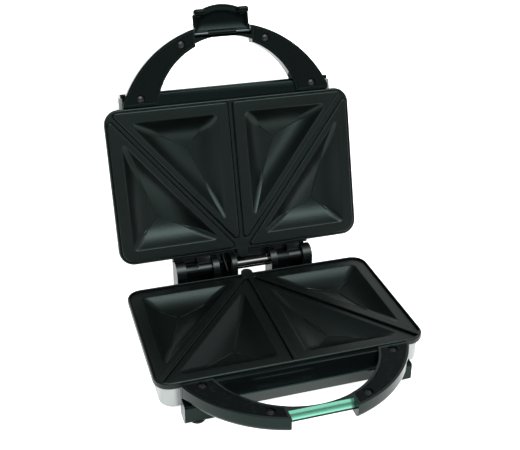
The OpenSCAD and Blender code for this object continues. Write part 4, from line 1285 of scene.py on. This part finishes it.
    def _foot(self, name: str, x: float, y: float) -> bpy.types.Object:
        """One turned rubber foot with a sunk middle.

        Returns:
            The finished foot.
        """
        bm = bmesh.new()
        top, low, r = -LAYOUT.cover_z, -LAYOUT.stand_z, self.foot_r
        profile = [(0, low + 0.8), (r * 0.42, low + 0.8), (r * 0.5, low + 0.15), (r * 0.56, low),
                   (r * 0.78, low), (r * 0.88, low + 0.25), (r * 0.95, low + 1.0), (r, top - 0.3),
                   (r - 0.2, top), (2.5, top), (2.5, top + 2), (0, top + 2)]
        turned(bm, profile, Vector((x, y, 0)))
        return finish_piece(bm, f"foot_rubber_{name}", Body.BASE, RUBBER,
                            (f"foot_{name}",), sharp=35)

    def front_block(self) -> bpy.types.Object:
        """The lower front block, with a fine ledge along the middle of its face.

        Returns:
            The finished block.
        """
        bm = bmesh.new()
        bm.from_mesh(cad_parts["base_fascia"].data)
        bmesh.ops.remove_doubles(bm, verts=bm.verts, dist=0.002 * MM)
        bmesh.ops.dissolve_limit(bm, angle_limit=math.radians(1), verts=bm.verts, edges=bm.edges)
        into = Body.BASE.matrix.inverted()
        for vert in bm.verts:
            place = into @ vert.co
            for (y, z), (new_y, new_z) in self.front_moves:
                if math.hypot(place.y - y, place.z - z) < 0.1 and abs(place.x) < LAYOUT.root_x - 20:
                    vert.co = Body.BASE.matrix @ Vector((place.x, new_y, new_z))
                    break
        return dress(bm, "front_block_lower", Body.BASE, GLOSS_BLACK, ("base_fascia",),
                     Rounding(0.35, 12.0, 4))

    def build(self) -> list[bpy.types.Object]:
        """Models both shells and what they carry.

        Returns:
            The finished pieces.
        """
        pieces = [self.base_shell(), self.lid_shell(), self.bezel()]
        pieces += [self._foot(*foot) for foot in self.feet]
        pieces += [
            self.front_block(),
            recast("lid_fascia", Body.LID, GLOSS_BLACK, Rounding(0.7, 12.0, 4)),
            recast("bottom_cover", Body.BASE, SATIN_BLACK, Rounding(0.6)),
            recast("bottom_cover_screws", Body.BASE, STEEL, Rounding(0.25)),
            recast("cord_inlet_bush", Body.BASE, RUBBER, Rounding(0.4)),
            recast("power_lens", Body.LID, RED_LENS, Rounding(0.2)),
            recast("ready_lens", Body.LID, GREEN_LENS, Rounding(0.2)),
        ]
        return pieces


# Latch


@dataclass
class Latch:
    """The latch with its hooks, and the pin that it swings on.

    It is modelled as it hangs when latched: its pin is the origin, -Y is the front.
    """

    half_w: float = 26.3
    length: float = 25.5
    thick: float = 3.0
    inner_y: float = 0.3
    tip_r: float = 44.0
    barrel: float = 26.0
    eye_r: float = 3.2
    hook_w: float = 11.5
    hook_reach: float = 7.4
    hook_top: float = 15.85
    hook_t: float = 6.2
    hook_round: float = 2.6
    side_reach: float = 3.2
    pin_r: float = 1.5
    pin_l: float = 62.0

    def _tip(self, inset: float) -> list[Point]:
        """The outline of the latch's plate, as X and Z, with an arched tip.

        Args:
            inset: The distance inwards.

        Returns:
            The outline's points.
        """
        r, centre, x = self.tip_r - inset, self.tip_r - self.length, self.half_w - inset
        end = math.asin(x / r)
        points = [(r * math.sin(a), centre - r * math.cos(a))
                  for a in (-end + 2 * end * i / 28 for i in range(29))]
        top = -0.4 - inset
        return points + [(x, top - 2.5), (x - 0.7, top - 0.7), (x - 2.5, top), (-x + 2.5, top),
                         (-x + 0.7, top - 0.7), (-x, top - 2.5)]

    def _hook(self, bm: bmesh.types.BMesh, side: int) -> None:
        """One hook, a rounded lip at the end of a side wall."""
        x0, x1 = sorted((side * (self.half_w - self.hook_w), side * (self.half_w - 0.5)))
        y = self.inner_y
        brick(bm, (x0, y - 1.4, -self.hook_top - self.hook_t), (x1, self.hook_reach, -self.hook_top),
              self.hook_round, 7)
        wall = side * (self.half_w - 1.5)
        x0, x1 = sorted((wall, side * (self.half_w - 0.1)))
        brick(bm, (x0, y - 1.2, -6.0), (x1, self.side_reach, -1.4), 0.6, 4)

    def build(self) -> list[bpy.types.Object]:
        """Models the latch and its pin.

        Returns:
            The finished pieces.
        """
        bm = bmesh.new()
        y0, y1 = self.inner_y - self.thick, self.inner_y
        rings = []
        for inset, y in ((1.6, y0 + 0.02), (0.8, y0 + 0.2), (0.2, y0 + 0.75), (0.0, y0 + 1.4),
                         (0.0, y1 - 0.6), (0.15, y1 - 0.2), (0.5, y1)):
            rings.append([Vector((x, y, z)) for x, z in self._tip(inset)])
        verts = [bm.verts.new(v) for v in rings[0]]
        edges = [bm.edges.new((a, b)) for a, b in zip(verts, verts[1:] + verts[:1])]
        cap(bm, edges)
        last = skin(bm, edges, rings[1:])
        scoop = [[Vector((x, y, z)) for x, z in self._tip(inset)]
                 for inset, y in ((1.4, y1), (1.9, y1 - 0.2), (2.8, y1 - 0.9), (4.4, y1 - 1.5),
                                  (6.5, y1 - 1.9), (9.0, y1 - 2.1))]
        cap(bm, skin(bm, last, scoop))
        half = self.barrel / 2
        rod(bm, Vector((-half, 0, 0)), Vector((half, 0, 0)), self.eye_r, 0.5)
        brick(bm, (-half + 0.3, y0 + 0.5, -self.eye_r), (half - 0.3, 0, -0.4), 0.3)
        for side in (1, -1):
            self._hook(bm, side)
        latch = finish_piece(bm, "latch_dressed", Body.LATCH, LATCH_BLACK, ("latch",),
                             sharp=50)
        bm = bmesh.new()
        at = Vector((0, LAYOUT.pin_y, -LAYOUT.latch_z))
        reach = Vector((self.pin_l / 2, 0, 0))
        rod(bm, at - reach, at + reach, self.pin_r, 0.3, 32)
        pin = finish_piece(bm, "latch_pin_dressed", Body.LID, PIN_STEEL, ("latch_pin",))
        return [latch, pin]


# Hinge and the lead across it


@dataclass
class Hinge:
    """The hinge block, the lid's bracket, the pins, the tie bar and the link lead."""

    lead_x: float = -18.0
    lead_r: float = 1.5
    lead_bow: float = 3.1
    lead_start: Point = (158.0, -20.0)
    bracket_y: float = 147.0
    lead_lid_z: float = 10.2
    lead_hold: float = 3.0
    steps: int = 40
    rib_boxes: tuple[tuple[float, float, float, float, float], ...] = (
        (-57.4, -43.5, 155.4, 9.7, 15.0), (32.6, 46.5, 155.4, 9.7, 15.0),
        (-25.1, -13.6, 157.0, 12.9, 21.0), (-7.4, 25.1, 156.4, 8.3, 15.0),
        (-66.6, 66.6, 156.4, 14.4, 17.4))
    rails: tuple[tuple[Sequence[float], Sequence[float]], ...] = (
        ((-9.0, 165.6, -8.4), (26.5, 168.0, -2.9)), ((-27.0, 165.4, -3.6), (-12.0, 167.3, 3.0)))

    def _lead_points(self) -> list[Vector]:
        """The lead's smooth line from the hinge block to the lid's bracket, with the lid open.

        Returns:
            Its points, in the base's frame.
        """
        turn = math.radians(LAYOUT.lid_open)
        dy = self.bracket_y - self.lead_hold - LAYOUT.hinge_y
        dz = self.lead_lid_z - LAYOUT.hinge_z
        end = Vector((LAYOUT.hinge_y + dy * math.cos(turn) + dz * math.sin(turn),
                      LAYOUT.hinge_z - dy * math.sin(turn) + dz * math.cos(turn)))
        start = Vector(self.lead_start)
        rise = 0.5 * (end.y - start.y)
        b = start + Vector((0, rise))
        c = end + rise * Vector((math.cos(turn), -math.sin(turn)))
        points = []
        for i in range(self.steps + 1):
            t = i / self.steps
            s = 1 - t
            p = s ** 3 * start + 3 * s * s * t * b + 3 * s * t * t * c + t ** 3 * end
            side = self.lead_bow * math.sin(math.pi * t ** 0.7) ** 2
            points.append(Vector((self.lead_x + side, p.x, p.y)))
        return points

    def lead(self) -> bpy.types.Object:
        """The lead, which bends between the base and the lid.

        Returns:
            The finished lead.
        """
        line = self._lead_points()
        rings = []
        for i, at in enumerate(line):
            along = (line[min(i + 1, len(line) - 1)] - line[max(i - 1, 0)]).normalized()
            across = Vector((1, 0, 0))
            normal = across.cross(along)
            rings.append([at + self.lead_r * (across * math.cos(a) + normal * math.sin(a))
                          for a in (math.tau * k / 20 for k in range(20))])
        bm = bmesh.new()
        verts = [bm.verts.new(v) for v in rings[0]]
        edges = [bm.edges.new((a, b)) for a, b in zip(verts, verts[1:] + verts[:1])]
        cap(bm, edges)
        cap(bm, skin(bm, edges, rings[1:]))
        piece = finish_piece(bm, "link_lead_dressed", Body.BASE, LACQUER,
                             ("link_lead",), sharp=60, rides=False)
        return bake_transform(piece)

    def ribs(self) -> bpy.types.Object:
        """The stiffening ribs of the lid's bracket, which pass behind the knuckles and the lead.

        Returns:
            The finished ribs.
        """
        bm = bmesh.new()
        for x0, x1, y1, z0, z1 in self.rib_boxes:
            brick(bm, (x0, self.bracket_y - 0.3, -z1), (x1, y1, -z0), 0.4, 3)
        return finish_piece(bm, "hinge_ribs", Body.LID, HINGE_BLACK)

    def rail(self) -> bpy.types.Object:
        """The hinge block's rails under the tie bar and behind the lead.

        Returns:
            The finished rails.
        """
        bm = bmesh.new()
        for low, high in self.rails:
            brick(bm, low, high, 0.4, 3)
        return finish_piece(bm, "hinge_rails", Body.BASE, HINGE_BLACK)

    def build(self) -> list[bpy.types.Object]:
        """Dresses the hinge and models the lead.

        Returns:
            The finished pieces.
        """
        return [
            recast("hinge_block", Body.BASE, HINGE_BLACK, Rounding(0.6)),
            recast("lid_hinge_bracket", Body.LID, HINGE_BLACK, Rounding(0.6)),
            self.ribs(),
            self.rail(),
            recast("hinge_tie_bar", Body.BASE, LACQUER, Rounding(0.3)),
            recast("hinge_pin_left", Body.BASE, STEEL, Rounding(0.3)),
            recast("hinge_pin_right", Body.BASE, STEEL, Rounding(0.3)),
            self.lead(),
        ]


class Inside(Enum):
    """CAD nodes out of sight that keep their own shape, with the finish of each."""

    BASE_ELEMENT = ("base_element", ELEMENT)
    LID_ELEMENT = ("lid_element", ELEMENT)
    BASE_REFLECTOR = ("base_reflector", ALUMINIUM)
    LID_REFLECTOR = ("lid_reflector", ALUMINIUM)
    BASE_SCREWS = ("base_plate_screws", STEEL)
    LID_SCREWS = ("lid_plate_screws", STEEL)
    TERMINALS = ("terminal_block", STEATITE)
    THERMOSTAT = ("thermostat", STEATITE)
    FUSE = ("thermal_fuse", STEATITE)
    POWER_LAMP = ("power_lamp", LAMP_GLASS)
    READY_LAMP = ("ready_lamp", LAMP_GLASS)

    def dress(self) -> None:
        """Gives the node its finish."""
        node, finish = self.value
        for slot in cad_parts[node].material_slots:
            slot.material = finish.material()
        log.info("%s: %s", node, finish.name)


# Camera, floor and light


@dataclass
class Studio:
    """A plain pale floor, plain soft light and the camera at the photograph's angle."""

    place: tuple[float, float, float] = (-0.200308, -0.623808, 0.469485)
    azimuth: float = -17.312
    elevation: float = 28.232
    roll: float = 0.251
    lens: float = 60.169
    floor_size: float = 6.0
    floor_glow: float = 0.6
    floor_seen: float = 0.35
    horizon: float = 0.15
    top: float = 7.2
    top_from: tuple[float, float, float] = (0.12, -0.68, 1.0)
    top_focus: float = 12.0
    side: float = 0.6
    side_from: tuple[float, float, float] = (0.9, -0.15, 0.42)
    side_focus: float = 6.0
    back: float = 0.7
    back_from: tuple[float, float, float] = (0.26, 0.84, 0.5)
    back_focus: float = 4.0
    key_power: float = 0.06
    key_from: tuple[float, float, float] = (0.25, -0.5, 1.0)
    key_angle: float = 12.0

    def camera(self) -> None:
        """Sets up the camera."""
        data = bpy.data.cameras.new("photo view")
        data.lens, data.sensor_width = self.lens, 36.0
        data.clip_start, data.clip_end = 0.05, 20.0
        turn = math.radians(self.azimuth), math.radians(self.elevation), math.radians(self.roll)
        back = Vector((math.sin(turn[0]) * math.cos(turn[1]), -math.cos(turn[0]) * math.cos(turn[1]),
                       math.sin(turn[1])))
        right = (-back).cross(Vector((0, 0, 1))).normalized()
        up = right.cross(-back)
        cos, sin = math.cos(turn[2]), math.sin(turn[2])
        axes = (right * cos + up * sin, up * cos - right * sin, back)
        view = bpy.data.objects.new("photo view", data)
        bpy.context.scene.collection.objects.link(view)
        view.matrix_world = Matrix.Translation(self.place) @ Matrix(axes).transposed().to_4x4()
        bpy.context.scene.camera = view

    def key(self) -> None:
        """Adds the one small light, which puts the glints on glossy edges."""
        data = bpy.data.lights.new("key light", "SUN")
        data.energy, data.angle = self.key_power, math.radians(self.key_angle)
        lamp = bpy.data.objects.new("key light", data)
        bpy.context.scene.collection.objects.link(lamp)
        lamp.rotation_euler = (-Vector(self.key_from)).to_track_quat("-Z", "Y").to_euler()

    @staticmethod
    def _panel(nodes: bpy.types.Nodes, links: bpy.types.NodeLinks, way: bpy.types.NodeSocket,
               towards: Sequence[float], focus: float, power: float) -> bpy.types.NodeSocket:
        """A soft bright patch of the tent round one direction.

        Returns:
            The socket of its brightness.
        """
        dot = nodes.new("ShaderNodeVectorMath")
        dot.operation = "DOT_PRODUCT"
        links.new(way, dot.inputs[0])
        dot.inputs[1].default_value = Vector(towards).normalized()
        facing = _math(nodes, links, "MAXIMUM", dot.outputs["Value"], 0.0)
        return _math(nodes, links, "MULTIPLY", _math(nodes, links, "POWER", facing, focus), power)

    def tent(self) -> None:
        """Sets up the white tent around the object: bright overhead, dim at the horizon."""
        world = bpy.context.scene.world or bpy.data.worlds.new("studio")
        bpy.context.scene.world = world
        world.use_nodes = True
        nodes, links = world.node_tree.nodes, world.node_tree.links
        sky = nodes["Background"]
        sky.inputs[0].default_value = (1, 1, 1, 1)
        way = nodes.new("ShaderNodeTexCoord").outputs["Generated"]
        top = self._panel(nodes, links, way, self.top_from, self.top_focus, self.top)
        side = self._panel(nodes, links, way, self.side_from, self.side_focus, self.side)
        back = self._panel(nodes, links, way, self.back_from, self.back_focus, self.back)
        total = _math(nodes, links, "ADD", top, side)
        total = _math(nodes, links, "ADD", _math(nodes, links, "ADD", total, back), self.horizon)
        seen = nodes.new("ShaderNodeLightPath").outputs["Is Camera Ray"]
        links.new(_math(nodes, links, "MAXIMUM", total, seen), sky.inputs[1])

    def build(self) -> None:
        """Builds the floor, the lights, the world and the camera."""
        bm = bmesh.new()
        bmesh.ops.create_grid(bm, x_segments=1, y_segments=1, size=self.floor_size / 2)
        mesh = bpy.data.meshes.new("floor")
        bm.to_mesh(mesh)
        bm.free()
        floor = bpy.data.objects.new("floor", mesh)
        bpy.context.scene.collection.objects.link(floor)
        pale = bpy.data.materials.new("Pale floor")
        pale.use_nodes = True
        shader = pale.node_tree.nodes["Principled BSDF"]
        shader.inputs["Base Color"].default_value = (0.9, 0.9, 0.9, 1)
        shader.inputs["Roughness"].default_value = 0.9
        shader.inputs["Specular IOR Level"].default_value = 0.0
        shader.inputs["Emission Color"].default_value = (1, 1, 1, 1)
        nodes, links = pale.node_tree.nodes, pale.node_tree.links
        seen = nodes.new("ShaderNodeLightPath").outputs["Is Camera Ray"]
        glow = _math(nodes, links, "ADD", _math(nodes, links, "MULTIPLY", seen, self.floor_seen), self.floor_glow)
        links.new(glow, shader.inputs["Emission Strength"])
        mesh.materials.append(pale)
        bpy.context.scene.view_settings.view_transform = "Standard"
        self.tent()
        self.key()
        self.camera()


def main() -> None:
    """Builds every sub-assembly in order and reports its pieces."""
    logging.basicConfig(level=logging.INFO, format="%(name)s: %(message)s")
    Studio().build()
    for body in (Body.BASE, Body.LID):
        CookingPlate(body).build()
        Handle(body).build()
    Shells().build()
    Latch().build()
    Hinge().build()
    for node in Inside:
        node.dress()


if __name__ == "__main__":
    main()
